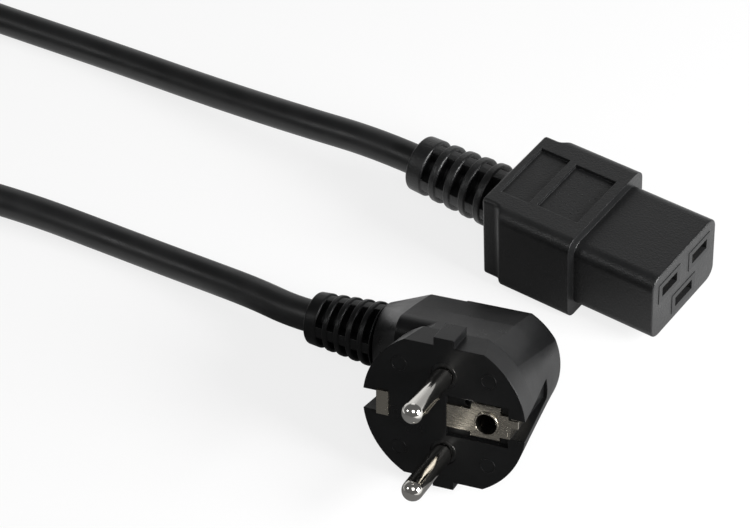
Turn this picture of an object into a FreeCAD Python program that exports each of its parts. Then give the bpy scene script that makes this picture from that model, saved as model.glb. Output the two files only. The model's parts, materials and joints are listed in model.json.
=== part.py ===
"""Mains lead with a C19 connector and an angled plug for earthed wall sockets.

The connector stands in its own frame: +X points out of its nose, +Y runs along its pair of
live slots, +Z is up, and the origin is under the middle of the connector on the surface it
rests on.  The cord leaves the connector towards -X, is wound into a coil with one tie round
it, and comes back to the plug, which rests on its key rib and the edge of its back.  All
lengths are millimetres and all angles degrees.
"""
import FreeCAD, Part
import Sketcher
import math
import os
from FreeCAD import Placement, Rotation, Vector

doc = FreeCAD.newDocument("mains_lead")

# ---------------------------------------------------------------------------------------
# Driving sizes
# ---------------------------------------------------------------------------------------

SIZES = (
    ("nose_width", 27.5, "connector nose, across the pair of live slots"),
    ("nose_height", 18.6, "connector nose, bottom to top"),
    ("nose_length", 21.3, "connector nose, grip to front face"),
    ("nose_corner", 3.2, "radius of the nose's long corners"),
    ("nose_rim", 0.4, "rounding of the nose's front edge"),
    ("grip_width", 32.0, "connector grip, side to side"),
    ("grip_height", 23.7, "connector grip, bottom to top"),
    ("grip_length", 25.3, "connector grip, back to front"),
    ("grip_corner", 3.0, "radius of the grip's long corners"),
    ("grip_edge", 0.7, "rounding of the grip's front and back edges"),
    ("waist_step", 2.5, "how far the grip's sides step in at the back"),
    ("waist_length", 5.6, "length of the narrow back of the grip"),
    ("waist_hollow", 2.2, "radius of the hollow where the narrow back meets the sides"),
    ("waist_round", 1.0, "radius of the corner where the sides begin"),
    ("panel_depth", 0.9, "depth of the two sunk panels on the grip"),
    ("panel_strip", 1.9, "raised strip between the two panels"),
    ("rear_panel_length", 8.0, "panel nearer the cord, along the grip"),
    ("rear_panel_width", 17.8, "panel nearer the cord, across the grip"),
    ("front_panel_length", 11.1, "panel nearer the nose, along the grip"),
    ("front_panel_width", 16.8, "panel nearer the nose, across the grip"),
    ("front_panel_inset", 2.4, "grip's front edge to the front panel"),

    ("slot_height", 2.8, "all three slots, short way"),
    ("live_slot_width", 6.4, "line and neutral slots, long way"),
    ("earth_slot_width", 7.3, "earth slot, long way"),
    ("live_pitch", 13.0, "line slot to neutral slot, centre to centre"),
    ("row_pitch", 8.0, "live slots' row to earth slot"),
    ("live_row_rise", 3.5, "live slots' row above the nose's axis"),
    ("slot_lip", 1.6, "carrier wall at the slots, which keeps the contacts in"),
    ("tower_wall", 0.8, "carrier wall round each contact"),
    ("tower_proud", 0.12, "how far the carrier's towers stand out of the front face"),
    ("carrier_base", 4.3, "thickness of the carrier's base"),
    ("carrier_seat", 1.0, "carrier's base to the front of the grip"),
    ("carrier_base_width", 23.2, "carrier's base, side to side"),
    ("carrier_base_height", 15.0, "carrier's base, bottom to top"),

    ("contact_sheet", 0.5, "sheet that the socket contacts are folded from"),
    ("contact_play", 0.1, "play of a contact in its tower"),
    ("contact_length", 13.8, "spring box of a contact"),
    ("contact_tail_width", 2.4, "tail that joins a contact's box and its crimp"),
    ("contact_tail_height", 0.8, "thickness of that tail"),
    ("tail_play", 0.1, "play of the tail in the carrier's base"),
    ("crimp_length", 6.0, "crimp barrels on the contacts and the earth strip"),
    ("crimp_wall", 0.9, "wall of those crimp barrels"),
    ("strip_bare", 1.0, "bare wire between a crimp and the insulation"),

    ("cable_diameter", 7.6, "outside of the cord"),
    ("jacket_wall", 0.75, "sheath of the cord"),
    ("core_diameter", 2.8, "outside of an insulated core"),
    ("wire_diameter", 1.6, "stranded copper in a core"),
    ("connector_jacket_run", 31.0, "sheath inside the connector, from the boot's tip"),
    ("core_lead", 5.2, "sheath's end to where the connector's cores spread"),
    ("core_straight", 1.5, "straight core behind a crimp"),
    ("bed_lap", 0.5, "how far a room in the mould reaches into the one before it"),

    ("boot_length", 27.0, "connector's boot"),
    ("boot_root_diameter", 16.1, "connector's boot at the grip"),
    ("boot_tip_diameter", 13.8, "connector's boot at its tip"),
    ("boot_end_ring", 4.5, "length of the last ring at the tip"),
    ("boot_windows", 5, "rows of windows in each boot"),
    ("boot_window", 2.2, "window of the connector's boot, along the cord"),
    ("boot_ring", 2.2, "ring between two rows of windows"),
    ("boot_rib", 3.0, "width of the four ribs that join the rings"),
    ("boot_rib_drop", 0.3, "ribs below the rings' outside"),
    ("boot_ring_round", 0.55, "rounding of a ring's edges"),

    ("face_radius", 19.0, "plug's round face"),
    ("face_flat", 16.6, "plug's axis to the flats above and below"),
    ("collar_depth", 7.0, "depth of the plug's collar behind its face"),
    ("collar_back_radius", 18.2, "plug's collar where the body begins"),
    ("key_width", 4.8, "key ribs above and below"),
    ("key_reach", 18.5, "plug's axis to the outside of a key rib"),
    ("body_depth", 34.5, "plug's face to its back"),
    ("body_round", 3.0, "rounding of the edge of the plug's back"),
    ("body_top_reach", 7.6, "half length of the flat finger surfaces"),
    ("body_front_height", 14.8, "finger surface above the axis, at the collar"),
    ("body_fold_height", 12.4, "finger surface above the axis, at its fold"),
    ("body_back_height", 9.9, "finger surface above the axis, at the back"),
    ("body_fold_depth", 22.0, "plug's face to the fold in the finger surfaces"),
    ("body_edge_front_reach", 14.2, "side edges of the finger surfaces, from the axis, at the collar"),
    ("body_edge_back_reach", 13.5, "those edges from the axis, at the back"),
    ("body_edge_front", 11.3, "height of those edges at the collar"),
    ("body_edge_back", 4.3, "height of the upper edges at the back"),
    ("body_edge_back_below", 7.6, "depth of the lower edges at the back"),
    ("body_back_reach", 14.6, "plug's axis to its side wall, at the back"),
    ("body_bulge", 0.5, "swell of the corner between finger surface and side"),

    ("neck_start", 16.3, "plug's axis to where the neck begins"),
    ("neck_front", 11.0, "plug's face to the front of the neck"),
    ("neck_round", 4.0, "corner radius of the neck where it begins"),
    ("plug_boot_reach", 25.4, "plug's axis to the root of its boot"),
    ("plug_boot_depth", 27.2, "plug's face to the axis of its boot"),
    ("plug_boot_turn", 5.7, "turn of the boot towards the plug's back"),
    ("plug_boot_length", 18.3, "plug's boot"),
    ("plug_boot_root_diameter", 15.5, "plug's boot at the neck"),
    ("plug_boot_tip_diameter", 12.3, "plug's boot at its tip"),
    ("plug_boot_end_ring", 3.4, "length of its last ring"),
    ("plug_boot_window", 1.7, "window of the plug's boot, along the cord"),
    ("plug_boot_ring", 1.5, "ring between two rows of windows"),
    ("plug_boot_rib", 2.6, "width of its four ribs"),
    ("plug_ring_round", 0.45, "rounding of a ring's edges"),
    ("plug_jacket_run", 20.3, "sheath inside the plug, from the boot's tip"),
    ("plug_core_lead", 4.2, "sheath's end to where the plug's cores spread"),
    ("plug_core_turn", 7.5, "room behind a crimp in which a core turns"),

    ("pin_diameter", 4.8, "plug pins"),
    ("pin_length", 19.0, "pins, from the plug's face"),
    ("pin_pitch", 19.0, "pin to pin, centre to centre"),
    ("pin_shank_diameter", 4.0, "pin inside the bridge"),
    ("pin_tip_round", 2.2, "rounding of a pin's tip"),
    ("pin_crimp_diameter", 4.4, "crimp barrel at the back of a pin"),
    ("pin_crimp_length", 6.0, "length of that barrel"),
    ("pin_crimp_bore", 5.0, "depth of its bore"),
    ("bridge_depth", 2.6, "plug's face to the bridge's plate"),
    ("bridge_thickness", 3.4, "bridge's plate"),
    ("bridge_width", 25.0, "bridge's plate, side to side"),
    ("bridge_height", 24.4, "bridge's plate, bottom to top"),
    ("boss_diameter", 6.0, "bridge's bosses round the pins"),
    ("boss_sink", 0.4, "bosses below the plug's face"),
    ("boss_end", 9.0, "plug's face to the back of the bosses"),

    ("earth_hole_reach", 10.0, "plug's axis to the earth hole"),
    ("earth_hole_diameter", 4.9, "bore of the earth socket"),
    ("earth_sleeve_wall", 0.4, "wall of the earth socket"),
    ("earth_sleeve_length", 14.0, "earth socket behind the face"),
    ("earth_rim", 0.3, "earth socket's rolled rim in front of its plate"),
    ("earth_sheet", 0.6, "sheet of the earth strip"),
    ("earth_strip_width", 4.6, "earth strip and its side contacts"),
    ("earth_bar_depth", 10.0, "plug's face to the cross bar of the strip"),
    ("earth_washer_diameter", 8.8, "washer of the strip round the earth socket"),
    ("side_contact_reach", 15.6, "plug's axis to the outside of a side contact"),
    ("side_contact_proud", 0.5, "side contact in front of the plug's face"),
    ("contact_head_width", 5.9, "head of the free side contact, up and down"),
    ("contact_head_length", 2.8, "head of the free side contact, inwards"),
    ("contact_lip_length", 1.8, "lip of the side contact by the earth hole"),
    ("contact_lip_height", 1.8, "height of that lip"),
    ("notch_width", 4.9, "side notches that the wall socket's clips enter"),
    ("notch_length", 19.5, "side notches behind the face"),
    ("earth_crimp_reach", 7.0, "plug's axis to the crimp of the earth strip"),

    ("plate_sheet", 0.8, "earth plate on the plug's face"),
    ("plate_sink", 0.1, "earth plate's front below the plug's face"),
    ("plate_start", 0.7, "plug's axis to the earth plate"),
    ("plate_shoulder", 6.3, "plug's axis to its wide part"),
    ("plate_wide_end", 13.0, "plug's axis to the end of its wide part"),
    ("plate_tongue_height", 5.5, "height of its tongue and its end"),
    ("plate_wide_height", 8.4, "height of its wide part"),
    ("plate_bevel", 0.6, "bevel along the wide part"),
    ("pocket_height", 9.8, "shallow pocket that the plate lies in"),
    ("pocket_margin", 0.1, "pocket past the plate's tongue"),
    ("gauge_hole_diameter", 1.2, "small hole beside the plate's tongue"),
    ("gauge_hole_reach", 5.2, "plug's axis to that hole"),
    ("gauge_hole_rise", 3.8, "that hole above the plug's axis"),
    ("gauge_hole_depth", 2.0, "depth of that hole"),

    ("plug_x", 19.8, "centre of the plug's face"),
    ("plug_y", -71.9, "centre of the plug's face"),
    ("plug_yaw", 11.7, "plug turned about the upright"),
    ("plug_tilt", 15.5, "pins tipped upwards"),
    ("plug_roll", -4.7, "plug rolled about its pins"),

    ("coil_x", -203.0, "centre of the coil"),
    ("coil_y", -60.6, "centre of the coil"),
    ("coil_outer_lane", 50.0, "radius of the coil's outer turns"),
    ("lane_gap", 0.2, "room between turns that lie side by side"),
    ("coil_entry_angle", 96.4, "where the cord enters the coil, from +X"),
    ("coil_change_angle", 60.0, "sweep over which a turn changes its lane"),
    ("coil_exit_angle", 312.0, "where the cord leaves the coil, from +X"),
    ("coil_lap", 1.3, "how far the coil's middle reaches into its outer turns"),
    ("tie_sheet", 0.8, "thickness of the tie"),
    ("tie_width", 12.0, "width of the tie"),
    ("tie_room", 0.4, "room inside the tie, each side"),
    ("tie_angle", 205.0, "where the tie sits on the coil, from +X"),
)

sheet = doc.addObject("Spreadsheet::Sheet", "Sizes")
sheet.Label = "Sizes"
for row, (alias, value, note) in enumerate(SIZES, start=1):
    sheet.set(f"A{row}", alias)
    sheet.set(f"B{row}", str(value))
    sheet.set(f"C{row}", note)
    sheet.setAlias(f"B{row}", alias)
doc.recompute()


def size(alias):
    """The value of one cell of the sheet."""
    return float(sheet.get(alias))


def cell(text):
    """An expression on the sheet: every word in braces is one of its aliases."""
    return text.replace("{", "Sizes.").replace("}", "")


def value(text):
    """What such an expression comes to."""
    return float(sheet.evalExpression(cell(text)))


# ---------------------------------------------------------------------------------------
# Small helpers: primitives whose sizes and places are expressions on the sheet
# ---------------------------------------------------------------------------------------

ALONG = {"x": Rotation(Vector(0, 0, 1), Vector(1, 0, 0)),
         "-x": Rotation(Vector(0, 0, 1), Vector(-1, 0, 0)),
         "y": Rotation(Vector(0, 0, 1), Vector(0, 1, 0)),
         "z": Rotation()}


def bind(obj, **sizes):
    for name, text in sizes.items():
        obj.setExpression(name, cell(text))


def place(obj, at, along="z"):
    """Put an object at a point given as three expressions, its own Z along an axis."""
    obj.Placement = Placement(Vector(), ALONG[along])
    for axis, text in zip("xyz", at):
        obj.setExpression(f"Placement.Base.{axis}", cell(text))


def box(name, low, high):
    """A block between two corners, each given as three expressions."""
    block = doc.addObject("Part::Box", name)
    for prop, start, end in zip(("Length", "Width", "Height"), low, high):
        block.setExpression(prop, cell(f"({end}) - ({start})"))
    place(block, low)
    return block


def slab(name, x, width, height, y="0", z="0"):
    """A block from x[0] to x[1], centred on y and z."""
    return box(name, (x[0], f"({y}) - ({width}) / 2", f"({z}) - ({height}) / 2"),
               (x[1], f"({y}) + ({width}) / 2", f"({z}) + ({height}) / 2"))


def rod(name, diameter, start, length, along):
    cylinder = doc.addObject("Part::Cylinder", name)
    bind(cylinder, Radius=f"({diameter}) / 2", Height=length)
    place(cylinder, start, along)
    return cylinder


def fuse(name, pieces):
    joined = doc.addObject("Part::MultiFuse", name)
    joined.Shapes = pieces
    joined.Refine = True
    return joined


def cut(name, base, *tools):
    """What is left of the base when all the tools are taken out of it."""
    result = doc.addObject("Part::Cut", name)
    result.Base = base
    result.Tool = tools[0] if len(tools) == 1 else fuse(name + "_tools", list(tools))
    return result


def common(name, pieces):
    result = doc.addObject("Part::MultiCommon", name)
    result.Shapes = pieces
    return result


def rounded(name, base, radius, chosen):
    """Round the chosen edges of a piece; chosen(edge) says which."""
    doc.recompute()
    result = doc.addObject("Part::Fillet", name)
    result.Base = base
    result.Edges = [(number, radius, radius) for number, edge in enumerate(base.Shape.Edges, start=1)
                    if chosen(edge)]
    return result


# ---------------------------------------------------------------------------------------
# Small helpers: sketches and PartDesign bodies
# ---------------------------------------------------------------------------------------

def new_body(name):
    return doc.addObject("PartDesign::Body", name)


def new_sketch(body, name, role, offset=None):
    """A sketch on one of its own body's origin planes, lifted off it by an expression."""
    sketch = body.newObject("Sketcher::SketchObject", name)
    plane = next(item for item in body.Origin.OriginFeatures if item.Role == role)
    sketch.AttachmentSupport = [(plane, "")]
    sketch.MapMode = "FlatFace"
    if offset is not None:
        sketch.setExpression("AttachmentOffset.Base.z", cell(offset))
    return sketch


def named(sketch, constraint, name, text):
    """Add a driving dimension and tie it to an expression."""
    index = sketch.addConstraint(constraint)
    sketch.renameConstraint(index, name)
    sketch.setExpression(f"Constraints.{name}", cell(text))


def rectangle(sketch, width, height, x=None, y=None, tag=""):
    """A rectangle centred on the sketch's origin, or with its middle at x, y."""
    w, h = 4.0, 3.0
    corners = [Vector(-w, -h, 0), Vector(w, -h, 0), Vector(w, h, 0), Vector(-w, h, 0)]
    first = sketch.GeometryCount
    for start, end in zip(corners, corners[1:] + corners[:1]):
        sketch.addGeometry(Part.LineSegment(start, end), False)
    for side in range(4):
        sketch.addConstraint(Sketcher.Constraint("Coincident", first + side, 2, first + (side + 1) % 4, 1))
    for side in (0, 2):
        sketch.addConstraint(Sketcher.Constraint("Horizontal", first + side))
        sketch.addConstraint(Sketcher.Constraint("Vertical", first + side + 1))
    if x is None:
        sketch.addConstraint(Sketcher.Constraint("Symmetric", first, 1, first + 1, 2, -1, 1))
    else:
        middle = sketch.addGeometry(Part.Point(Vector(0, 0, 0)), True)
        sketch.addConstraint(Sketcher.Constraint("Symmetric", first, 1, first + 1, 2, middle, 1))
        named(sketch, Sketcher.Constraint("DistanceX", -1, 1, middle, 1, 0.0), tag + "middle_x", x)
        named(sketch, Sketcher.Constraint("DistanceY", -1, 1, middle, 1, 0.0), tag + "middle_y", y)
    named(sketch, Sketcher.Constraint("DistanceX", first, 1, first, 2, 2 * w), tag + "width", width)
    named(sketch, Sketcher.Constraint("DistanceY", first + 1, 1, first + 1, 2, 2 * h), tag + "height", height)


def rounded_rectangle(sketch, width, height, radius):
    """A rectangle centred on the sketch's origin with its four corners rounded."""
    w, h, r = 6.0, 5.0, 1.0
    ends = [(Vector(r - w, -h, 0), Vector(w - r, -h, 0)), (Vector(w, r - h, 0), Vector(w, h - r, 0)),
            (Vector(w - r, h, 0), Vector(r - w, h, 0)), (Vector(-w, h - r, 0), Vector(-w, r - h, 0))]
    for start, end in ends:
        sketch.addGeometry(Part.LineSegment(start, end), False)
    centres = [Vector(w - r, r - h, 0), Vector(w - r, h - r, 0), Vector(r - w, h - r, 0), Vector(r - w, r - h, 0)]
    for corner, centre in enumerate(centres):
        start = math.radians(90 * corner - 90)
        circle = Part.Circle(centre, Vector(0, 0, 1), r)
        sketch.addGeometry(Part.ArcOfCircle(circle, start, start + math.pi / 2), False)
    for side in range(4):
        arc = 4 + side
        sketch.addConstraint(Sketcher.Constraint("Tangent", side, 2, arc, 1))
        sketch.addConstraint(Sketcher.Constraint("Tangent", arc, 2, (side + 1) % 4, 1))
        if side:
            sketch.addConstraint(Sketcher.Constraint("Equal", 4, arc))
    sketch.addConstraint(Sketcher.Constraint("Horizontal", 2))
    sketch.addConstraint(Sketcher.Constraint("Vertical", 3))
    sketch.addConstraint(Sketcher.Constraint("Symmetric", 0, 1, 0, 2, -2))
    sketch.addConstraint(Sketcher.Constraint("Symmetric", 1, 1, 1, 2, -1))
    named(sketch, Sketcher.Constraint("DistanceX", 3, 1, 1, 1, 2 * w), "width", width)
    named(sketch, Sketcher.Constraint("DistanceY", 0, 1, 2, 1, 2 * h), "height", height)
    named(sketch, Sketcher.Constraint("Radius", 4, r), "radius", radius)


def pad(body, name, sketch, length, reverse=False):
    feature = body.newObject("PartDesign::Pad", name)
    feature.Profile = sketch
    feature.Reversed = reverse
    bind(feature, Length=length)
    return feature


def pocket(body, name, sketch, length, both_ways=False):
    feature = body.newObject("PartDesign::Pocket", name)
    feature.Profile = sketch
    feature.Midplane = both_ways
    bind(feature, Length=length)
    return feature


def body_fillet(body, name, radius, chosen):
    """Round the chosen edges of the body's newest feature."""
    doc.recompute()
    base = body.Tip
    feature = body.newObject("PartDesign::Fillet", name)
    edges = [f"Edge{number}" for number, edge in enumerate(base.Shape.Edges, start=1) if chosen(edge)]
    feature.Base = (base, edges)
    bind(feature, Radius=radius)
    return feature


def profile_sketch(body, name, points):
    """A closed outline in the XZ plane, each corner given as two expressions."""
    sketch = new_sketch(body, name, "XZ_Plane")
    corners = [Vector(value(x), value(z), 0) for x, z in points]
    for start, end in zip(corners, corners[1:] + corners[:1]):
        sketch.addGeometry(Part.LineSegment(start, end), False)
    count = len(points)
    for side in range(count):
        sketch.addConstraint(Sketcher.Constraint("Coincident", side, 2, (side + 1) % count, 1))
    for side, (x, z) in enumerate(points):
        named(sketch, Sketcher.Constraint("DistanceX", -1, 1, side, 1, corners[side].x), f"x{side}", x)
        named(sketch, Sketcher.Constraint("DistanceY", -1, 1, side, 1, corners[side].y), f"z{side}", z)
    return sketch


def turned(body, name, sketch, axis):
    """Revolve a sketch a full turn about one of its own axes."""
    feature = body.newObject("PartDesign::Revolution", name)
    feature.Profile = sketch
    feature.ReferenceAxis = (sketch, [axis])
    feature.Angle = 360
    return feature


# ---------------------------------------------------------------------------------------
# Small helpers: routes and sweeps
# ---------------------------------------------------------------------------------------

BEND_SHARE = 0.45


def bend_radius(before, corner, after):
    """Largest arc that a corner of a route takes from its two runs."""
    arriving = corner - before
    leaving = after - corner
    half_turn = arriving.getAngle(leaving) / 2
    return BEND_SHARE * min(arriving.Length, leaving.Length) / math.tan(half_turn)


def route_wire(points, beyond=0.0):
    """Straight runs joined by tangent arcs, one for each inner point; the last run may go on."""
    edges = []
    reached = points[0]
    for before, corner, after in zip(points, points[1:], points[2:]):
        arriving = (corner - before).normalize()
        leaving = (after - corner).normalize()
        trim = BEND_SHARE * min((corner - before).Length, (after - corner).Length)
        radius = bend_radius(before, corner, after)
        start = corner - arriving * trim
        end = corner + leaving * trim
        inwards = (leaving - arriving).normalize()
        centre = corner + inwards * math.hypot(trim, radius)
        middle = centre - inwards * radius
        edges.append(Part.LineSegment(reached, start).toShape())
        edges.append(Part.Arc(start, middle, end).toShape())
        reached = end
    onwards = (points[-1] - points[-2]).normalize()
    edges.append(Part.LineSegment(reached, points[-1] + onwards * beyond).toShape())
    return Part.Wire(edges)


def swept_rod(name, points, diameter, beyond=0.0):
    """A round rod of one diameter along a route."""
    path = doc.addObject("Part::Feature", name + "_path")
    path.Shape = route_wire(points, beyond)
    section = doc.addObject("Part::Circle", name + "_section")
    bind(section, Radius=f"({diameter}) / 2")
    section.Placement = Placement(points[0], Rotation(Vector(0, 0, 1), points[1] - points[0]))
    sweep = doc.addObject("Part::Sweep", name)
    sweep.Sections = [section]
    sweep.Spine = (path, [f"Edge{number}" for number in range(1, len(path.Shape.Edges) + 1)])
    sweep.Solid = True
    sweep.Frenet = False
    return sweep


def arc_between(start, middle, end):
    return Part.Arc(start, middle, end).toShape()


def line_between(start, end):
    return Part.LineSegment(start, end).toShape()


def rounded_outline(corners, radius):
    """A closed outline whose corners are rounded to one radius."""
    edges = []
    rounds = []
    count = len(corners)
    for index, corner in enumerate(corners):
        to_last = (corners[index - 1] - corner).normalize()
        to_next = (corners[(index + 1) % count] - corner).normalize()
        half = to_last.getAngle(to_next) / 2
        trim = radius / math.tan(half)
        inwards = (to_last + to_next).normalize()
        middle = corner + inwards * (radius / math.sin(half) - radius)
        rounds.append((corner + to_last * trim, middle, corner + to_next * trim))
    for index, (start, middle, end) in enumerate(rounds):
        edges.append(arc_between(start, middle, end))
        edges.append(line_between(end, rounds[(index + 1) % count][0]))
    return Part.Wire(edges)


def section_object(name, wire):
    section = doc.addObject("Part::Feature", name)
    section.Shape = wire
    return section


def ruled_loft(name, sections):
    loft = doc.addObject("Part::Loft", name)
    loft.Sections = sections
    loft.Solid = True
    loft.Ruled = True
    return loft


def finished(piece, label, placement):
    """A finished sub-part: the piece under the label that names its file, put in its place."""
    part = doc.addObject("Part::Compound", label)
    part.Label = label
    part.Links = [piece]
    part.Placement = placement
    parts.append(part)
    return part


parts = []

# ---------------------------------------------------------------------------------------
# Boots: rings of one cone, joined by four ribs, round the sheath of the cord
# ---------------------------------------------------------------------------------------

ROUND_SHARE = 0.45


def boot(name, prefix, window, ring, rib, ring_round):
    """A ribbed boot from its root at the origin to its tip on -X.

    prefix names the cells of its length, its two diameters and its end ring.
    """
    length = "{" + prefix + "_length}"
    root = "{" + prefix + "_root_diameter}"
    tip = "{" + prefix + "_tip_diameter}"
    end_ring = "{" + prefix + "_end_ring}"
    windows = int(size("boot_windows"))
    pitch = f"({window} + {ring})"
    first_window = f"({length} - {end_ring} - {windows} * {window} - {windows - 1} * {ring})"

    def radius_at(distance, drop="0"):
        return f"{root} / 2 - ({root} - {tip}) / 2 * ({distance}) / {length} - ({drop})"

    def cone(label, start, end, drop="0"):
        piece = doc.addObject("Part::Cone", label)
        bind(piece, Radius1=radius_at(start, drop), Radius2=radius_at(end, drop), Height=f"({end}) - ({start})")
        place(piece, (f"-({start})", "0", "0"), "-x")
        return piece

    stops = [("0", first_window)]
    for index in range(1, windows):
        start = f"{first_window} + {index} * {pitch} - {ring}"
        stops.append((start, f"{start} + {ring}"))
    stops.append((f"{length} - {end_ring}", length))
    rings = []
    for index, (start, end) in enumerate(stops):
        blank = cone(f"{name}_ring_{index}_blank", start, end)
        rounding = min(size(ring_round), ROUND_SHARE * value(f"({end}) - ({start})"))
        rings.append(rounded(f"{name}_ring_{index}", blank, rounding, lambda edge: edge.Closed))
    reach = f"2 * {root}"
    cross = fuse(f"{name}_cross", [slab(f"{name}_rib_flat", (f"-({length})", "0"), reach, rib),
                                   slab(f"{name}_rib_upright", (f"-({length})", "0"), rib, reach)])
    core = cone(f"{name}_rib_cone", "0", f"{length} - {end_ring} / 2", "{boot_rib_drop}")
    return fuse(name, rings + [common(f"{name}_ribs", [cross, core])])


# ---------------------------------------------------------------------------------------
# Connector: built with the front of its grip at x = 0 and its axis along X
# ---------------------------------------------------------------------------------------

GRIP_BACK = "-{grip_length}"
BOOT_TIP = "-{grip_length} - {boot_length}"
LIVE_Z = "{live_row_rise}"
EARTH_Z = "{live_row_rise} - {row_pitch}"
POLES = {"line": ("-{live_pitch} / 2", LIVE_Z, "{live_slot_width}"),
         "neutral": ("{live_pitch} / 2", LIVE_Z, "{live_slot_width}"),
         "earth": ("0", EARTH_Z, "{earth_slot_width}")}
PLAY = "2 * {contact_play}"
CONTACT_WIDE = "({width} + 2 * {contact_sheet})"
CONTACT_TALL = "({slot_height} + 2 * {contact_sheet})"
CAVITY_BACK = "{carrier_seat} + {carrier_base}"
CONTACT_FRONT = "{nose_length} - {slot_lip} - {contact_play}"
CONTACT_BACK = CONTACT_FRONT + " - {contact_length}"
CRIMP_FRONT = "{carrier_seat} - {contact_play}"
CRIMP_BACK = CRIMP_FRONT + " - {crimp_length}"
CRIMP_DIAMETER = "({wire_diameter} + 2 * {crimp_wall})"


def for_pole(text, width):
    """Put a pole's own slot width into an expression that is written for any pole."""
    return text.replace("{width}", width)


def connector_form():
    """Outside of the grip and the nose, as one moulding without its boot."""
    body = new_body("connector_form")
    grip_outline = new_sketch(body, "grip_outline", "YZ_Plane")
    rounded_rectangle(grip_outline, "{grip_width}", "{grip_height}", "{grip_corner}")
    pad(body, "grip_block", grip_outline, "{grip_length}", reverse=True)
    nose_outline = new_sketch(body, "nose_outline", "YZ_Plane")
    rounded_rectangle(nose_outline, "{nose_width}", "{nose_height}", "{nose_corner}")
    pad(body, "nose_block", nose_outline, "{nose_length}")

    waist = new_sketch(body, "waist_sides", "XY_Plane")
    beyond = "{waist_step}"
    for side, tag in ((-1, "right_"), (1, "left_")):
        rectangle(waist, "{waist_length} + " + beyond, "{waist_step} + " + beyond,
                  GRIP_BACK + " + ({waist_length} - " + beyond + ") / 2",
                  f"{side} * ({{grip_width}} / 2 - ({{waist_step}} - {beyond}) / 2)", tag)
    pocket(body, "waist_cut", waist, "2 * {grip_height}", both_ways=True)

    back = value(GRIP_BACK)
    step_x = back + size("waist_length")
    wide = size("grip_width") / 2
    narrow = wide - size("waist_step")

    def upright_at(x, y):
        def chosen(edge):
            box_of = edge.BoundBox
            return (abs(box_of.XMin - x) < 0.01 and abs(box_of.XMax - x) < 0.01
                    and abs(abs(box_of.Center.y) - y) < 0.01 and box_of.YLength < 0.01)
        return chosen

    def round_face_at(x, half_width):
        def chosen(edge):
            box_of = edge.BoundBox
            return (abs(box_of.XMin - x) < 0.01 and abs(box_of.XMax - x) < 0.01
                    and max(abs(box_of.YMin), abs(box_of.YMax)) > half_width - size("grip_corner") - 0.01)
        return chosen

    body_fillet(body, "waist_hollows", "min({waist_hollow}; 0.9 * {waist_step})", upright_at(step_x, narrow))
    body_fillet(body, "waist_rounds", "{waist_round}", upright_at(step_x, wide))
    body_fillet(body, "nose_rim", "{nose_rim}", round_face_at(size("nose_length"), size("nose_width") / 2))
    body_fillet(body, "grip_back_edges", "{grip_edge}", round_face_at(back, narrow))

    front_panel_x = "-{front_panel_inset} - {front_panel_length} / 2"
    rear_panel_x = ("-{front_panel_inset} - {front_panel_length} - {panel_strip}"
                    " - {rear_panel_length} / 2")
    panels = new_sketch(body, "panel_outlines", "XY_Plane", "{grip_height} / 2")
    rectangle(panels, "{front_panel_length}", "{front_panel_width}", front_panel_x, "0", "front_")
    rectangle(panels, "{rear_panel_length}", "{rear_panel_width}", rear_panel_x, "0", "rear_")
    pocket(body, "panels", panels, "{panel_depth}")
    return body


def tower(pole):
    """One of the carrier's towers, which holds a contact and ends in the nose's face."""
    y, z, width = POLES[pole]
    around = PLAY + " + 2 * {tower_wall}"
    return slab(f"{pole}_tower", (CAVITY_BACK, "{nose_length} + {tower_proud}"),
                for_pole(CONTACT_WIDE, width) + " + " + around, CONTACT_TALL + " + " + around, y, z)


def carrier_voids(pole):
    """Slot, contact chamber and tail hole of one pole."""
    y, z, width = POLES[pole]
    beyond = "{tower_proud} + {slot_lip}"
    return [slab(f"{pole}_slot", ("{nose_length} - {slot_lip} - {contact_play}", "{nose_length} + " + beyond),
                 width, "{slot_height}", y, z),
            slab(f"{pole}_chamber", (CAVITY_BACK, "{nose_length} - {slot_lip}"),
                 for_pole(CONTACT_WIDE, width) + " + " + PLAY, CONTACT_TALL + " + " + PLAY, y, z),
            slab(f"{pole}_tail_hole", ("0", CAVITY_BACK + " + {tail_play}"),
                 "{contact_tail_width} + 2 * {tail_play}", "{contact_tail_height} + 2 * {tail_play}", y, z)]


def contact(pole):
    """A folded socket contact: spring box, tail and crimp barrel."""
    y, z, width = POLES[pole]
    shell = slab(f"{pole}_box_outside", (CONTACT_BACK, CONTACT_FRONT),
                 for_pole(CONTACT_WIDE, width), CONTACT_TALL, y, z)
    hollow = slab(f"{pole}_box_inside", (CONTACT_BACK + " + {contact_sheet}", CONTACT_FRONT + " + {contact_sheet}"),
                  width, "{slot_height}", y, z)
    spring_box = cut(f"{pole}_spring_box", shell, hollow)
    tail = slab(f"{pole}_tail", (CRIMP_FRONT + " - {contact_sheet}", CONTACT_BACK + " + {contact_sheet} / 2"),
                "{contact_tail_width}", "{contact_tail_height}", y, z)
    barrel = cut(f"{pole}_crimp", rod(f"{pole}_crimp_outside", CRIMP_DIAMETER, (CRIMP_BACK, y, z),
                                      "{crimp_length}", "x"),
                 rod(f"{pole}_crimp_bore", "{wire_diameter}", (CRIMP_BACK, y, z),
                     "{crimp_length} - {crimp_wall}", "x"))
    return fuse(f"{pole}_contact_piece", [spring_box, tail, barrel])


def twisted_offset(pole):
    """Where a core lies in the cord's section: three cores that touch one another."""
    radius = size("core_diameter") / math.sqrt(3)
    angle = {"line": 30, "neutral": 150, "earth": 270}[pole]
    across = radius * math.cos(math.radians(angle))
    up = radius * math.sin(math.radians(angle))
    return across, up


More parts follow.
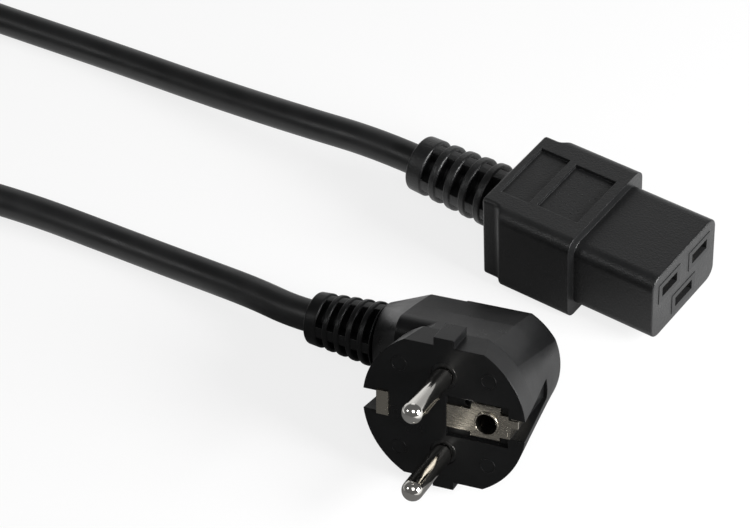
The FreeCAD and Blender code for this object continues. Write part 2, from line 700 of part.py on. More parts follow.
def cored(name, points, bare_tip):
    """A wire that runs on past a route's end, its insulated core, and the room that both need."""
    wire = swept_rod(f"{name}_wire_piece", points, "{wire_diameter}", bare_tip)
    outside = swept_rod(f"{name}_core_form", points, "{core_diameter}")
    bore = swept_rod(f"{name}_core_bore", points, "{wire_diameter}", bare_tip)
    onwards = (points[-1] - points[-2]).normalize()
    bare_room = doc.addObject("Part::Cylinder", f"{name}_bare_room")
    bind(bare_room, Radius="{wire_diameter} / 2", Height=f"{bare_tip} + {{bed_lap}}")
    bare_room.Placement = Placement(points[-1] - onwards * size("bed_lap"), Rotation(Vector(0, 0, 1), onwards))
    return wire, cut(f"{name}_core_piece", outside, bore), [outside, bare_room]


def connector_core_route(pole):
    """From the boot's tip, straight through the sheath, then out to the pole's crimp."""
    y, z, _ = POLES[pole]
    across, up = twisted_offset(pole)
    across = -across
    tip = value(BOOT_TIP)
    spread_start = tip + size("connector_jacket_run") + size("core_lead")
    core_end = value(CRIMP_BACK) - size("strip_bare")
    return [Vector(tip, across, up), Vector(spread_start, across, up),
            Vector(core_end - size("core_straight"), value(y), value(z)),
            Vector(core_end, value(y), value(z))]


def build_connector():
    """All the connector's pieces, and where they go."""
    place_here = Placement(Vector(value("({boot_length} + {grip_length} - {nose_length} - {tower_proud}) / 2"), 0,
                                  value("{grip_height} / 2")), Rotation())
    base = slab("carrier_base", ("{carrier_seat}", CAVITY_BACK), "{carrier_base_width}", "{carrier_base_height}")
    carrier_form = fuse("carrier_form", [base] + [tower(pole) for pole in POLES])
    voids = [void for pole in POLES for void in carrier_voids(pole)]
    carrier = cut("carrier_piece", carrier_form, *voids)
    finished(carrier, "contact_carrier", place_here)

    bedded = [carrier_form]
    for pole in POLES:
        y, z, _ = POLES[pole]
        finished(contact(pole), f"{pole}_contact", place_here)
        wire, core, room = cored(f"connector_{pole}", connector_core_route(pole),
                                 size("strip_bare") + size("crimp_length") - size("crimp_wall"))
        finished(core, f"connector_{pole}_core", place_here)
        finished(wire, f"connector_{pole}_wire", place_here)
        crimp_bed = rod(f"{pole}_crimp_bed", CRIMP_DIAMETER, (CRIMP_BACK, y, z),
                        "{crimp_length} + {carrier_seat}", "x")
        bedded += [*room, crimp_bed]

    sheath_form = rod("connector_sheath_form", "{cable_diameter}", (BOOT_TIP, "0", "0"),
                      "{connector_jacket_run}", "x")
    sheath_bore = rod("connector_sheath_bore", "{cable_diameter} - 2 * {jacket_wall}", (BOOT_TIP, "0", "0"),
                      "{connector_jacket_run}", "x")
    finished(cut("connector_sheath_piece", sheath_form, sheath_bore), "connector_sheath", place_here)
    between_cores = rod("connector_between_cores", "{core_diameter}",
                        (BOOT_TIP + " + {connector_jacket_run} - {bed_lap}", "0", "0"),
                        "{core_lead} + {bed_lap}", "x")
    bedded += [sheath_form, between_cores]

    connector_boot = boot("connector_boot", "boot", "{boot_window}", "{boot_ring}", "{boot_rib}", "boot_ring_round")
    bind(connector_boot, **{"Placement.Base.x": GRIP_BACK})
    outside = fuse("connector_outside", [connector_form(), connector_boot])
    finished(cut("connector_overmould_piece", outside, *bedded), "connector_overmould", place_here)
    return place_here.multVec(Vector(value(BOOT_TIP), 0, 0))


cord_start = build_connector()


# ---------------------------------------------------------------------------------------
# Plug: built with the middle of its face at the origin, pins along -Y, earth hole on +X
# ---------------------------------------------------------------------------------------

PIN_Z = {"line": "{pin_pitch} / 2", "neutral": "-{pin_pitch} / 2"}
PLUG_CRIMP_BACK = "{boss_end} + {pin_crimp_length}"
EARTH_CRIMP_START = "{earth_bar_depth} + {earth_sheet}"
EARTH_CRIMP_BACK = EARTH_CRIMP_START + " + {crimp_length}"
boot_placement = Placement(Vector(-size("plug_boot_reach"), size("plug_boot_depth"), 0),
                           Rotation(Vector(0, 0, 1), -size("plug_boot_turn")))


def finger_section(name, depth, height, edge_reach, edge_above, edge_below, wall_reach):
    """Cross-section of the plug's body: finger surfaces above and below, round sides."""
    bulge = size("body_bulge")
    top_reach = size("body_top_reach")

    def corner_arc(x_sign, z_sign, edge_height):
        start = Vector(x_sign * top_reach, depth, z_sign * height)
        end = Vector(x_sign * edge_reach, depth, z_sign * edge_height)
        outwards = Vector(x_sign * (height - edge_height), 0, z_sign * (edge_reach - top_reach)).normalize()
        return start, (start + end) / 2 + outwards * bulge, end

    edges = []
    for x_sign in (1, -1):
        upper = corner_arc(x_sign, 1, edge_above)
        lower = corner_arc(x_sign, -1, edge_below)
        wall = Vector(x_sign * wall_reach, depth, (upper[2].z + lower[2].z) / 2)
        edges += [arc_between(*upper), arc_between(upper[2], wall, lower[2]), arc_between(*lower)]
    for z in (height, -height):
        edges.append(line_between(Vector(-top_reach, depth, z), Vector(top_reach, depth, z)))
    return section_object(name, Part.Wire(Part.__sortEdges__(edges)))


def plug_body():
    """Body behind the collar: it narrows towards the back and has a fold in its fingers."""
    collar = size("collar_depth")
    fold = size("body_fold_depth")
    depth = size("body_depth")
    share = (fold - collar) / (depth - collar)

    def between(front, back):
        return front + (back - front) * share

    front = [size(alias) for alias in ("body_edge_front_reach", "body_edge_front", "body_edge_front",
                                       "collar_back_radius")]
    back = [size(alias) for alias in ("body_edge_back_reach", "body_edge_back", "body_edge_back_below",
                                      "body_back_reach")]
    middle = [between(*pair) for pair in zip(front, back)]
    sections = [finger_section("body_front", collar, size("body_front_height"), *front),
                finger_section("body_fold", fold, size("body_fold_height"), *middle),
                finger_section("body_back", depth, size("body_back_height"), *back)]
    return rounded("body_rounded", ruled_loft("body_loft", sections), size("body_round"),
                   lambda edge: edge.BoundBox.YMin > depth - 0.01)


NEAR_ROUND = 0.94
NEAR_ROUND_CROWN = 0.2


def neck():
    """The neck carries the finger surfaces on and narrows to the root of the boot."""
    collar = size("collar_depth")
    fold = size("body_fold_depth")
    back = size("body_depth")
    front = size("neck_front")
    radius = size("plug_boot_root_diameter") / 2
    middle = size("plug_boot_depth")
    fold_height = size("body_fold_height")
    front_height = size("body_front_height")
    front_height += (fold_height - front_height) * (front - collar) / (fold - collar)

    def outline(x, half, corner):
        """Round outline across the neck; half gives its depths and its heights there."""
        upper = [Vector(x, depth, height) for depth, height in half]
        lower = [Vector(x, depth, -height) for depth, height in reversed(half)]
        return rounded_outline(upper + lower, corner)

    along_fingers = [(front, front_height), (fold, fold_height), (back, size("body_back_height"))]
    low = radius - NEAR_ROUND_CROWN
    at_boot = [(middle - radius, low), (middle, radius), (middle + radius, low)]
    corner = size("neck_round")
    inner = section_object("neck_inner", outline(-size("body_top_reach") / 2, along_fingers, corner))
    outer = section_object("neck_outer", outline(-size("neck_start"), along_fingers, corner))
    tip = section_object("neck_tip", outline(-size("plug_boot_reach"), at_boot, NEAR_ROUND * radius))
    return fuse("neck", [ruled_loft("neck_block", [inner, outer]), ruled_loft("neck_taper", [outer, tip])])


def side_notch(side):
    """Notch that a spring clip of the wall socket enters, down to the side contact."""
    reach = "{face_radius} + {body_round}"
    near, far = ("{side_contact_reach}", reach)
    if side < 0:
        near, far = "-(" + reach + ")", "-{side_contact_reach}"
    return box(f"notch_{'earth' if side > 0 else 'free'}_side", (near, "-1", "-{notch_width} / 2"),
               (far, "{notch_length}", "{notch_width} / 2"))


def plug_form():
    """Outside of the plug as one moulding with its neck and boot."""
    disc = doc.addObject("Part::Cone", "face_disc")
    bind(disc, Radius1="{face_radius}", Radius2="{collar_back_radius}", Height="{collar_depth}")
    place(disc, ("0", "0", "0"), "y")
    flats = box("face_flats", ("-{face_radius}", "0", "-{face_flat}"),
                ("{face_radius}", "{collar_depth}", "{face_flat}"))
    collar = common("collar", [disc, flats])
    keys = box("key_ribs", ("-{key_width} / 2", "0", "-{key_reach}"),
               ("{key_width} / 2", "{collar_depth}", "{key_reach}"))
    plug_boot = boot("plug_boot", "plug_boot", "{plug_boot_window}", "{plug_boot_ring}",
                     "{plug_boot_rib}", "plug_ring_round")
    plug_boot.Placement = boot_placement
    solid = fuse("plug_solid", [collar, keys, plug_body(), neck(), plug_boot])
    return cut("plug_outside", solid, side_notch(1), side_notch(-1))


def pin(pole):
    """A round pin with its shank through the bridge and a crimp barrel behind."""
    body = new_body(f"{pole}_pin_body")
    outline = profile_sketch(body, f"{pole}_pin_outline", [
        ("0", "-{pin_length}"), ("{pin_diameter} / 2", "-{pin_length}"), ("{pin_diameter} / 2", "{boss_sink}"),
        ("{pin_shank_diameter} / 2", "{boss_sink}"), ("{pin_shank_diameter} / 2", "{boss_end}"),
        ("{pin_crimp_diameter} / 2", "{boss_end}"), ("{pin_crimp_diameter} / 2", PLUG_CRIMP_BACK),
        ("{wire_diameter} / 2", PLUG_CRIMP_BACK), ("{wire_diameter} / 2", PLUG_CRIMP_BACK + " - {pin_crimp_bore}"),
        ("0", PLUG_CRIMP_BACK + " - {pin_crimp_bore}")])
    turned(body, f"{pole}_pin_turned", outline, "V_Axis")
    tip = -size("pin_length")
    body_fillet(body, f"{pole}_pin_tip", "min({pin_tip_round}; 0.96 * {pin_diameter} / 2)",
                lambda edge: edge.Closed and edge.BoundBox.ZMax < tip + 0.01)
    turn = Rotation(Vector(0, 0, 1), Vector(0, 1, 0))
    body.Placement = Placement(Vector(0, 0, value(PIN_Z[pole])), turn)
    return body


def bridge():
    """Hard carrier that holds both pins, the earth socket and the earth strip apart."""
    plate = box("bridge_plate", ("-{bridge_width} / 2", "{bridge_depth}", "-{bridge_height} / 2"),
                ("{bridge_width} / 2", "{bridge_depth} + {bridge_thickness}", "{bridge_height} / 2"))
    bosses = [rod(f"{pole}_boss", "{boss_diameter}", ("0", "{boss_sink}", z), "{boss_end} - {boss_sink}", "y")
              for pole, z in PIN_Z.items()]
    return fuse("bridge_form", [plate] + bosses)


def earth_sleeve(name, diameter, margin="0"):
    start = "-{earth_rim} - " + margin
    return rod(name, diameter, ("{earth_hole_reach}", start, "0"),
               "{earth_sleeve_length} + {earth_rim} + " + margin, "y")


def earth_strip():
    """Sheet strip: a cross bar, a side contact at each end, and a crimp for its core."""
    half = "{earth_strip_width} / 2"
    front = "-{side_contact_proud}"
    bar_back = "{earth_bar_depth} + {earth_sheet}"
    inside = "{side_contact_reach} - {earth_sheet}"
    pieces = [
        box("earth_bar", ("-{side_contact_reach}", "{earth_bar_depth}", "-" + half),
            ("{side_contact_reach}", bar_back, half)),
        box("earth_leg_near", (inside, front, "-" + half), ("{side_contact_reach}", bar_back, half)),
        box("earth_leg_free", ("-{side_contact_reach}", front, "-" + half), ("-(" + inside + ")", bar_back, half)),
        box("free_head", ("-{side_contact_reach}", front, "-{contact_head_width} / 2"),
            ("{contact_head_length} - {side_contact_reach}", front + " + {earth_sheet}",
             "{contact_head_width} / 2")),
        box("near_lip", (inside, front, half + " - {contact_lip_height}"),
            ("{side_contact_reach} + {contact_lip_length}", front + " + {earth_sheet}", half)),
        rod("earth_washer", "{earth_washer_diameter}", ("{earth_hole_reach}", "{earth_bar_depth}", "0"),
            "{earth_sheet}", "y"),
        rod("earth_crimp", CRIMP_DIAMETER, ("-{earth_crimp_reach}", "{earth_bar_depth}", "0"),
            "{crimp_length} + {earth_sheet}", "y")]
    bore = rod("earth_crimp_bore", "{wire_diameter}",
               ("-{earth_crimp_reach}", EARTH_CRIMP_START + " + {crimp_wall}", "0"), "{crimp_length}", "y")
    return cut("earth_strip_piece", fuse("earth_strip_form", pieces), bore,
               earth_sleeve("earth_strip_hole", "{earth_hole_diameter} + 2 * {earth_sleeve_wall}", "{earth_rim}"))


def earth_plate():
    """Plate on the plug's face: tongue, wide part with bevelled edges, and its end."""
    front = "{plate_sink}"
    back = "{plate_sink} + {plate_sheet}"
    tongue = "{plate_tongue_height} / 2"
    strip = box("plate_strip", ("{plate_start}", front, "-" + tongue),
                ("{side_contact_reach} - {earth_sheet}", back, tongue))
    wide = box("plate_wide", ("{plate_shoulder}", front, "-{plate_wide_height} / 2"),
               ("{plate_wide_end}", back, "{plate_wide_height} / 2"))
    bevelled = doc.addObject("Part::Chamfer", "plate_bevelled")
    doc.recompute()
    bevelled.Base = wide
    bevel = min(size("plate_bevel"), 0.9 * size("plate_sheet"))
    level = size("plate_sink")
    bevelled.Edges = [(number, bevel, bevel) for number, edge in enumerate(wide.Shape.Edges, start=1)
                      if edge.BoundBox.YMax < level + 0.01 and edge.BoundBox.ZLength < 0.01]
    hole = rod("plate_hole", "{earth_hole_diameter} + 2 * {earth_sleeve_wall}",
               ("{earth_hole_reach}", "0", "0"), "3 * {plate_sheet}", "y")
    return cut("earth_plate_piece", fuse("plate_form", [strip, bevelled]), hole)


def boot_rod(name, diameter, start, length):
    """A straight rod along the axis of the plug's boot; it starts so far from the boot's tip."""
    straight = doc.addObject("Part::Cylinder", name)
    bind(straight, Radius=f"({diameter}) / 2", Height=length)
    from_root = value(start) - size("plug_boot_length")
    straight.Placement = boot_placement * Placement(Vector(from_root, 0, 0), ALONG["x"])
    return straight


def plug_core_route(pole):
    """From the boot's tip through the sheath, then round to the pin's or strip's crimp."""
    across, up = twisted_offset(pole)
    local = Vector(0, up, across)
    tip = boot_placement.multVec(Vector(-size("plug_boot_length"), 0, 0) + local)
    past_root = size("plug_jacket_run") + size("plug_core_lead") - size("plug_boot_length")
    spread_start = boot_placement.multVec(Vector(past_root, 0, 0) + local)
    if pole == "earth":
        x, z = -size("earth_crimp_reach"), 0.0
        back = value(EARTH_CRIMP_BACK)
    else:
        x, z = 0.0, value(PIN_Z[pole])
        back = value(PLUG_CRIMP_BACK)
    end = Vector(x, back + size("strip_bare"), z)
    turn_in = end + Vector(0, size("plug_core_turn"), 0)
    spread = Vector((2 * spread_start.x + turn_in.x) / 3, (spread_start.y + turn_in.y) / 2,
                    (spread_start.z + z) / 2)
    return [tip, spread_start, spread, turn_in, end]


def build_plug():
    """All the plug's pieces in its own frame, by label."""
    outside = plug_form()
    bridge_form = bridge()
    sleeve_form = earth_sleeve("sleeve_form", "{earth_hole_diameter} + 2 * {earth_sleeve_wall}")
    sleeve_bore = earth_sleeve("sleeve_bore", "{earth_hole_diameter}", "{earth_rim}")
    sleeve = rounded("sleeve_rolled", sleeve_form, 0.8 * size("earth_sleeve_wall"),
                     lambda edge: edge.Closed and edge.BoundBox.YMax < 0)
    strip = earth_strip()
    plate = earth_plate()
    pins = {pole: pin(pole) for pole in PIN_Z}
    shanks = [rod(f"{pole}_shank_hole", "{pin_shank_diameter}", ("0", "0", z), "{boss_end}", "y")
              for pole, z in PIN_Z.items()]
    doc.recompute()

    pieces = {"plug_bridge": cut("bridge_piece", bridge_form, sleeve_form, *shanks),
              "earth_strip": strip,
              "earth_plate": plate,
              "earth_socket": cut("earth_socket_piece", sleeve, sleeve_bore)}
    bedded = [bridge_form, strip, sleeve_form, pins["line"], pins["neutral"]]
    for pole, body in pins.items():
        pieces[f"{pole}_pin"] = body
    for pole in POLES:
        in_crimp = size("pin_crimp_bore") if pole in PIN_Z else size("crimp_length") - size("crimp_wall")
        bare = size("strip_bare") + in_crimp
        wire, core, room = cored(f"plug_{pole}", plug_core_route(pole), bare)
        pieces[f"plug_{pole}_core"] = core
        pieces[f"plug_{pole}_wire"] = wire
        bedded += room

    sheath_form = boot_rod("plug_sheath_form", "{cable_diameter}", "0", "{plug_jacket_run}")
    sheath_bore = boot_rod("plug_sheath_bore", "{cable_diameter} - 2 * {jacket_wall}", "0", "{plug_jacket_run}")
    pieces["plug_sheath"] = cut("plug_sheath_piece", sheath_form, sheath_bore)
    between_cores = boot_rod("plug_between_cores", "{core_diameter}", "{plug_jacket_run} - {bed_lap}",
                             "{plug_core_lead} + {bed_lap}")
    bedded += [sheath_form, between_cores]

    bedded.append(box("plate_pocket", ("{plate_start} - {pocket_margin}", "-1", "-{pocket_height} / 2"),
                      ("{side_contact_reach} - {earth_sheet}", "{plate_sink} + {plate_sheet}",
                       "{pocket_height} / 2")))
    bedded += [rod(f"{pole}_boss_ring", "{boss_diameter}", ("0", "-1", z), "1 + {boss_sink}", "y")
               for pole, z in PIN_Z.items()]
    bedded.append(rod("gauge_hole", "{gauge_hole_diameter}", ("{gauge_hole_reach}", "0", "{gauge_hole_rise}"),
                      "{gauge_hole_depth}", "y"))
    pieces["plug_overmould"] = cut("plug_overmould_piece", outside, *bedded)
    return pieces


def plug_placement(overmould):
    """The plug turned as it lies, its face where it belongs and its lowest point on the floor."""
    turn = (Rotation(Vector(0, 0, 1), size("plug_yaw")) * Rotation(Vector(1, 0, 0), -size("plug_tilt"))
            * Rotation(Vector(0, 1, 0), size("plug_roll")))
    doc.recompute()
    lying = overmould.Shape.copy()
    lying.Placement = Placement(Vector(), turn)
    lowest = lying.optimalBoundingBox(False).ZMin
    return Placement(Vector(size("plug_x"), size("plug_y"), -lowest), turn)


plug_pieces = build_plug()
plug_place = plug_placement(plug_pieces["plug_overmould"])
for label, piece in plug_pieces.items():
    finished(piece, label, plug_place)


# ---------------------------------------------------------------------------------------
# Cord: two stretches on the floor, and a coil of two layers held by a tie
# ---------------------------------------------------------------------------------------

LANES = 3
COIL_ROUND = 0.8
CABLE_RADIUS = size("cable_diameter") / 2
LANE_PITCH = size("cable_diameter") + size("lane_gap")
COIL_CENTRE = Vector(size("coil_x"), size("coil_y"), 0)
LOWER_LAYER = size("tie_sheet") + CABLE_RADIUS
UPPER_LAYER = LOWER_LAYER + LANE_PITCH


def on_outer_lane(angle, height):
    """A point of the coil's outer turn, and the way the cord runs there."""
    turn = math.radians(angle)
    outwards = Vector(math.cos(turn), math.sin(turn), 0)
    point = COIL_CENTRE + outwards * size("coil_outer_lane") + Vector(0, 0, height)
    return point, Vector(-outwards.y, outwards.x, 0)


def outer_turn(name, height, start, sweep):
    """The outer turn of one layer, as far as it goes round."""
    turn = doc.addObject("Part::Torus", name)
    bind(turn, Radius1="{coil_outer_lane}", Radius2="{cable_diameter} / 2")
    turn.Angle3 = sweep
    turn.Placement = Placement(COIL_CENTRE + Vector(0, 0, height), Rotation(Vector(0, 0, 1), start))
    return turn


def coil():
    """The wound cord as one closed solid: its inner turns as a ring, its outer turns as they are."""
    inner = size("coil_outer_lane") - (LANES - 1) * LANE_PITCH - CABLE_RADIUS
    outer = size("coil_outer_lane") - CABLE_RADIUS + size("coil_lap")
    low = LOWER_LAYER - CABLE_RADIUS + size("lane_gap")
    high = UPPER_LAYER + CABLE_RADIUS - size("lane_gap")
    wheel = doc.addObject("Part::Cylinder", "coil_wheel")
    hole = doc.addObject("Part::Cylinder", "coil_hole")
    for cylinder, radius in ((wheel, outer), (hole, inner)):
        cylinder.Radius = radius
        cylinder.Height = high - low
        cylinder.Placement = Placement(COIL_CENTRE + Vector(0, 0, low), Rotation())
    ring = rounded("coil_ring", cut("coil_ring_blank", wheel, hole), COIL_ROUND * CABLE_RADIUS,
                   lambda edge: edge.Closed)
    entry, leave, change = (size(f"coil_{word}_angle") for word in ("entry", "exit", "change"))
    return fuse("coil_piece", [ring, outer_turn("lower_outer_turn", LOWER_LAYER, entry, 360 - change),
                               outer_turn("upper_outer_turn", UPPER_LAYER, entry, leave - entry)])


def tie():
    """A flat strap round all the turns at one place."""
    innermost = size("coil_outer_lane") - (LANES - 1) * LANE_PITCH - CABLE_RADIUS
    inner = math.sqrt(innermost ** 2 - (size("tie_width") / 2) ** 2) - size("tie_room")
    outer = size("coil_outer_lane") + CABLE_RADIUS + size("tie_room")
    top = UPPER_LAYER + CABLE_RADIUS + size("tie_room")
    across = (inner + outer) / 2
    body = new_body("tie_body")
    outline = new_sketch(body, "tie_outline", "YZ_Plane")
    rounded_rectangle(outline, str(outer - inner) + " + 2 * {tie_sheet}", str(top) + " + {tie_sheet}",
                      "{cable_diameter} / 4 + {tie_sheet}")
    pad(body, "tie_band", outline, "{tie_width}")
    opening = new_sketch(body, "tie_opening", "YZ_Plane", "{tie_width}")
    rounded_rectangle(opening, str(outer - inner), str(top) + " - {tie_sheet}", "{cable_diameter} / 4")
    pocket(body, "tie_hole", opening, "{tie_width}")
    turn = Rotation(Vector(0, 0, 1), size("tie_angle") - 90)
    middle = Vector(-size("tie_width") / 2, across, (top + size("tie_sheet")) / 2)
    return body, Placement(COIL_CENTRE, turn) * Placement(middle, Rotation())


def cord_stretch(label, points, coil_piece):
    """A stretch of the cord that isn't coiled, less what the coil's solid takes of its end."""
    sweep = swept_rod(label + "_sweep", points, "{cable_diameter}")
    doc.recompute()
    length = sweep.Spine[0].Shape.Length
    radii = [bend_radius(*corner) for corner in zip(points, points[1:], points[2:])]
    expected = math.pi * CABLE_RADIUS ** 2 * length
    print(f"{label}: length {length:.1f}, volume {sweep.Shape.Volume:.0f} for {expected:.0f}, bends "
          + " ".join(f"{radius:.0f}" for radius in radii))
    finished(cut(label + "_piece", sweep, coil_piece), label, Placement())


coil_piece = coil()
finished(coil_piece, "cord_coil", Placement())
tie_piece, tie_place = tie()
finished(tie_piece, "coil_tie", tie_place)

entry_point, entry_heading = on_outer_lane(size("coil_entry_angle"), LOWER_LAYER)
exit_point, exit_heading = on_outer_lane(size("coil_exit_angle"), UPPER_LAYER)
plug_tip = plug_place.multVec(boot_placement.multVec(Vector(-size("plug_boot_length"), 0, 0)))
plug_heading = plug_place.Rotation.multVec(boot_placement.Rotation.multVec(Vector(-1, 0, 0)))

from_connector = [cord_start, cord_start - Vector(13, 0, 0), Vector(-71, -1.9, 10.3), Vector(-100, -2.0, 6.6),
                  Vector(-128, -2.2, 4.1), Vector(-150, -4.3, 3.8), Vector(-171, -6.8, 3.9),
                  entry_point - entry_heading * 18, entry_point]
to_plug = [exit_point, exit_point + exit_heading * 22, Vector(-134, -69.5, 10.7), Vector(-112, -61.0, 6.4),
           Vector(-90, -56.6, 4.1), Vector(-71, -54.2, 3.8), Vector(-57, -53.4, 4.9), plug_tip + plug_heading * 14,
           plug_tip]
cord_stretch("cord_from_connector", from_connector, coil_piece)
cord_stretch("cord_to_plug", to_plug, coil_piece)


# ---------------------------------------------------------------------------------------
# Check every object, then write one file for each sub-part
# ---------------------------------------------------------------------------------------

doc.recompute()
failed = [item.Name for item in doc.Objects if {"Invalid", "Error"} & set(item.State)]
for part in parts:
    if part.Shape.isNull() or not part.Shape.isValid() or not part.Shape.Solids:
        failed.append(part.Label)
if failed:
    raise RuntimeError("not sound: " + ", ".join(failed))

os.makedirs("parts", exist_ok=True)
for part in parts:
    part.Shape.exportStep(f"parts/{part.Label}.step")
    print(f"{part.Label}: {len(part.Shape.Solids)} solid, {part.Shape.Volume:.1f} mm3")
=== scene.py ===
# %% [markdown]
# # A mains lead with a C19 connector
# A detachable lead carries power from a wall socket to a server or a rack unit. One end is a block of
# black PVC with a stepped nose, the other an angled plug with bright pins, and between them runs a thick
# round flex. The hard pieces come ready made from the CAD frame. Blender gives them their finish, and makes
# what is soft or fine: the flex, the strap round its coil, and the small raised marks of the moulds.

# %% Load the frame
import bpy
import bmesh
import json
import math
from mathutils import Matrix, Vector


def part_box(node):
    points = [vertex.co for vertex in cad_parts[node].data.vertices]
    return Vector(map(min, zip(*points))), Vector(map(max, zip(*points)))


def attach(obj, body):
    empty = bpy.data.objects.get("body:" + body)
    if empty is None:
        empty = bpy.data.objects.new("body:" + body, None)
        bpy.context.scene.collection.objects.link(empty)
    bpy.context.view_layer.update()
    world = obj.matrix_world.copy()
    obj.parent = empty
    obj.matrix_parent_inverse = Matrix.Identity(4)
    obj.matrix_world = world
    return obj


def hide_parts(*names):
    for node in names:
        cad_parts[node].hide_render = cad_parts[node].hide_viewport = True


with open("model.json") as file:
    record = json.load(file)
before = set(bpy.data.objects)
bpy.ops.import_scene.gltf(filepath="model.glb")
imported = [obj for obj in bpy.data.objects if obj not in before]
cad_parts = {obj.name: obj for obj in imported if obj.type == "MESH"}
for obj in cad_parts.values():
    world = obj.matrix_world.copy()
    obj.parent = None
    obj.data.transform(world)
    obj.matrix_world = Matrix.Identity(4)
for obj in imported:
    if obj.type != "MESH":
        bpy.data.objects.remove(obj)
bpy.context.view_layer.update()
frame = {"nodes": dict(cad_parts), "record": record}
MM = 0.001
ROOT = "root"
print("pieces in the frame:", len(frame["nodes"]))

# %% [markdown]
# ## The camera
# The view looks down on the lead from the side of the plug's pins, with the connector's nose to the right.
# A long lens keeps the sides of the blocks almost parallel. A camera is easiest to place by two points,
# where it stands and what it looks at, and a small roll about its own axis.

# %% Camera
STANDS_AT = Vector((0.26499, -0.4067, 0.45652))
LOOKS_ALONG = Vector((-0.4479, 0.5734, -0.6860))
ROLL = math.radians(-3.2)

camera_data = bpy.data.cameras.new("studio_camera")
camera_data.sensor_width = 36
camera_data.lens = 134.106
camera_data.clip_start = 0.01
camera = bpy.data.objects.new("studio_camera", camera_data)
bpy.context.scene.collection.objects.link(camera)
aim = LOOKS_ALONG.to_track_quat("-Z", "Y").to_matrix().to_4x4()
camera.matrix_world = Matrix.Translation(STANDS_AT) @ aim @ Matrix.Rotation(ROLL, 4, "Z")
bpy.context.scene.camera = camera
print("camera right:", [round(value, 4) for value in camera.matrix_world.col[0][:3]])

# %% [markdown]
# ## The flex
# The real flex is three twisted cores in a round PVC sheath, 7.6 mm thick and stiff enough that it only
# takes wide bends. It leaves the connector straight, sinks to the floor, goes round the coil and comes back
# to the plug. A quadratic NURBS curve fits: its control points are few, it never has a kink, and a bevel
# gives it its thickness. The stretches that lie free follow listed points, and a loop winds the coil.

# %% Flex route: the stretch from the connector
FLEX_DIAMETER = 7.6 * MM
EXIT = Vector((-36.86, 0, 11.85)) * MM
COIL_CENTRE = Vector((-203.0, -60.6, 0)) * MM
TIE_SHEET = 0.8 * MM
LANE_PITCH = 7.8 * MM
OUTER_LANE = 50.0 * MM
LOWER_LAYER = TIE_SHEET + FLEX_DIAMETER / 2
UPPER_LAYER = LOWER_LAYER + LANE_PITCH
ENTRY_ANGLE = 96.4
EXIT_ANGLE = 312.0
CHANGE_SWEEP = 60.0


def on_lane(angle, radius, height):
    """A point of the coil, and the way the flex runs there."""
    turn = math.radians(angle)
    outwards = Vector((math.cos(turn), math.sin(turn), 0))
    return COIL_CENTRE + outwards * radius + Vector((0, 0, height)), Vector((-outwards.y, outwards.x, 0))


entry, entry_heading = on_lane(ENTRY_ANGLE, OUTER_LANE, LOWER_LAYER)
from_connector = [EXIT, EXIT + Vector((-13, 0, 0)) * MM]
from_connector += [Vector(point) * MM for point in (
    (-71, -1.9, 10.3), (-100, -2.0, 6.6), (-128, -2.2, 4.1), (-150, -4.3, 3.8), (-171, -6.8, 3.9))]
from_connector.append(entry - entry_heading * 18 * MM)
print("entry to the coil:", entry)

# %% [markdown]
# The coil has two layers of three lanes. Each turn keeps its lane for most of the way round and drifts into
# the next one over the last sixth, as wound flex does. Where the innermost turn climbs to the upper layer
# it leans into the hole, because its neighbours cross it there.

# %% Flex route: the coil
STEP = 15.0
LEAN = 3.0 * MM
INNER_LANE = OUTER_LANE - 2 * LANE_PITCH
LANES = [(OUTER_LANE, LOWER_LAYER), (OUTER_LANE - LANE_PITCH, LOWER_LAYER), (INNER_LANE, LOWER_LAYER),
         (INNER_LANE, UPPER_LAYER), (OUTER_LANE - LANE_PITCH, UPPER_LAYER), (OUTER_LANE, UPPER_LAYER)]
WOUND = 360.0 * (len(LANES) - 1) + EXIT_ANGLE - ENTRY_ANGLE


def coil_point(swept):
    """Where the flex is after so many degrees of winding."""
    turn = min(int(swept // 360), len(LANES) - 1)
    radius, height = LANES[turn]
    change = max(0.0, (swept - 360 * turn - (360 - CHANGE_SWEEP)) / CHANGE_SWEEP)
    if change and turn + 1 < len(LANES):
        next_radius, next_height = LANES[turn + 1]
        ease = change * change * (3 - 2 * change)
        if next_radius == radius:
            radius -= LEAN * math.sin(math.pi * change)
        else:
            radius += (next_radius - radius) * ease
        height += (next_height - height) * ease
    return on_lane(ENTRY_ANGLE + swept, radius, height)[0]


steps = round(WOUND / STEP)
coil = [coil_point(WOUND * step / steps) for step in range(steps + 1)]
print("turns in the coil:", round(WOUND / 360, 2))

# %% [markdown]
# The flex leaves the coil from its upper layer, comes down to the floor on its way to the plug, and rises
# again to the boot. The last two points lie on the boot's own axis, so that the flex enters it straight.

# %% Flex route: the stretch to the plug
leave, leave_heading = on_lane(EXIT_ANGLE, OUTER_LANE, UPPER_LAYER)
PLUG_BOOT_TIP = Vector((-28.2366, -54.2676, 8.6294)) * MM
PLUG_BOOT_AXIS = Vector((-0.98609, -0.12872, -0.10511))
to_plug = [leave + leave_heading * 22 * MM]
to_plug += [Vector(point) * MM for point in (
    (-134, -69.5, 10.7), (-112, -60.6, 6.2), (-90, -56.3, 3.9), (-74, -54.8, 4.0), (-60, -54.1, 5.0),
    (-46, -54.1, 6.7))]
to_plug += [PLUG_BOOT_TIP + PLUG_BOOT_AXIS * 6 * MM, PLUG_BOOT_TIP]
print("points from the coil to the plug:", len(to_plug))

# %% [markdown]
# The three stretches make one curve. Its length is measured, because the flex's length is one of its facts.

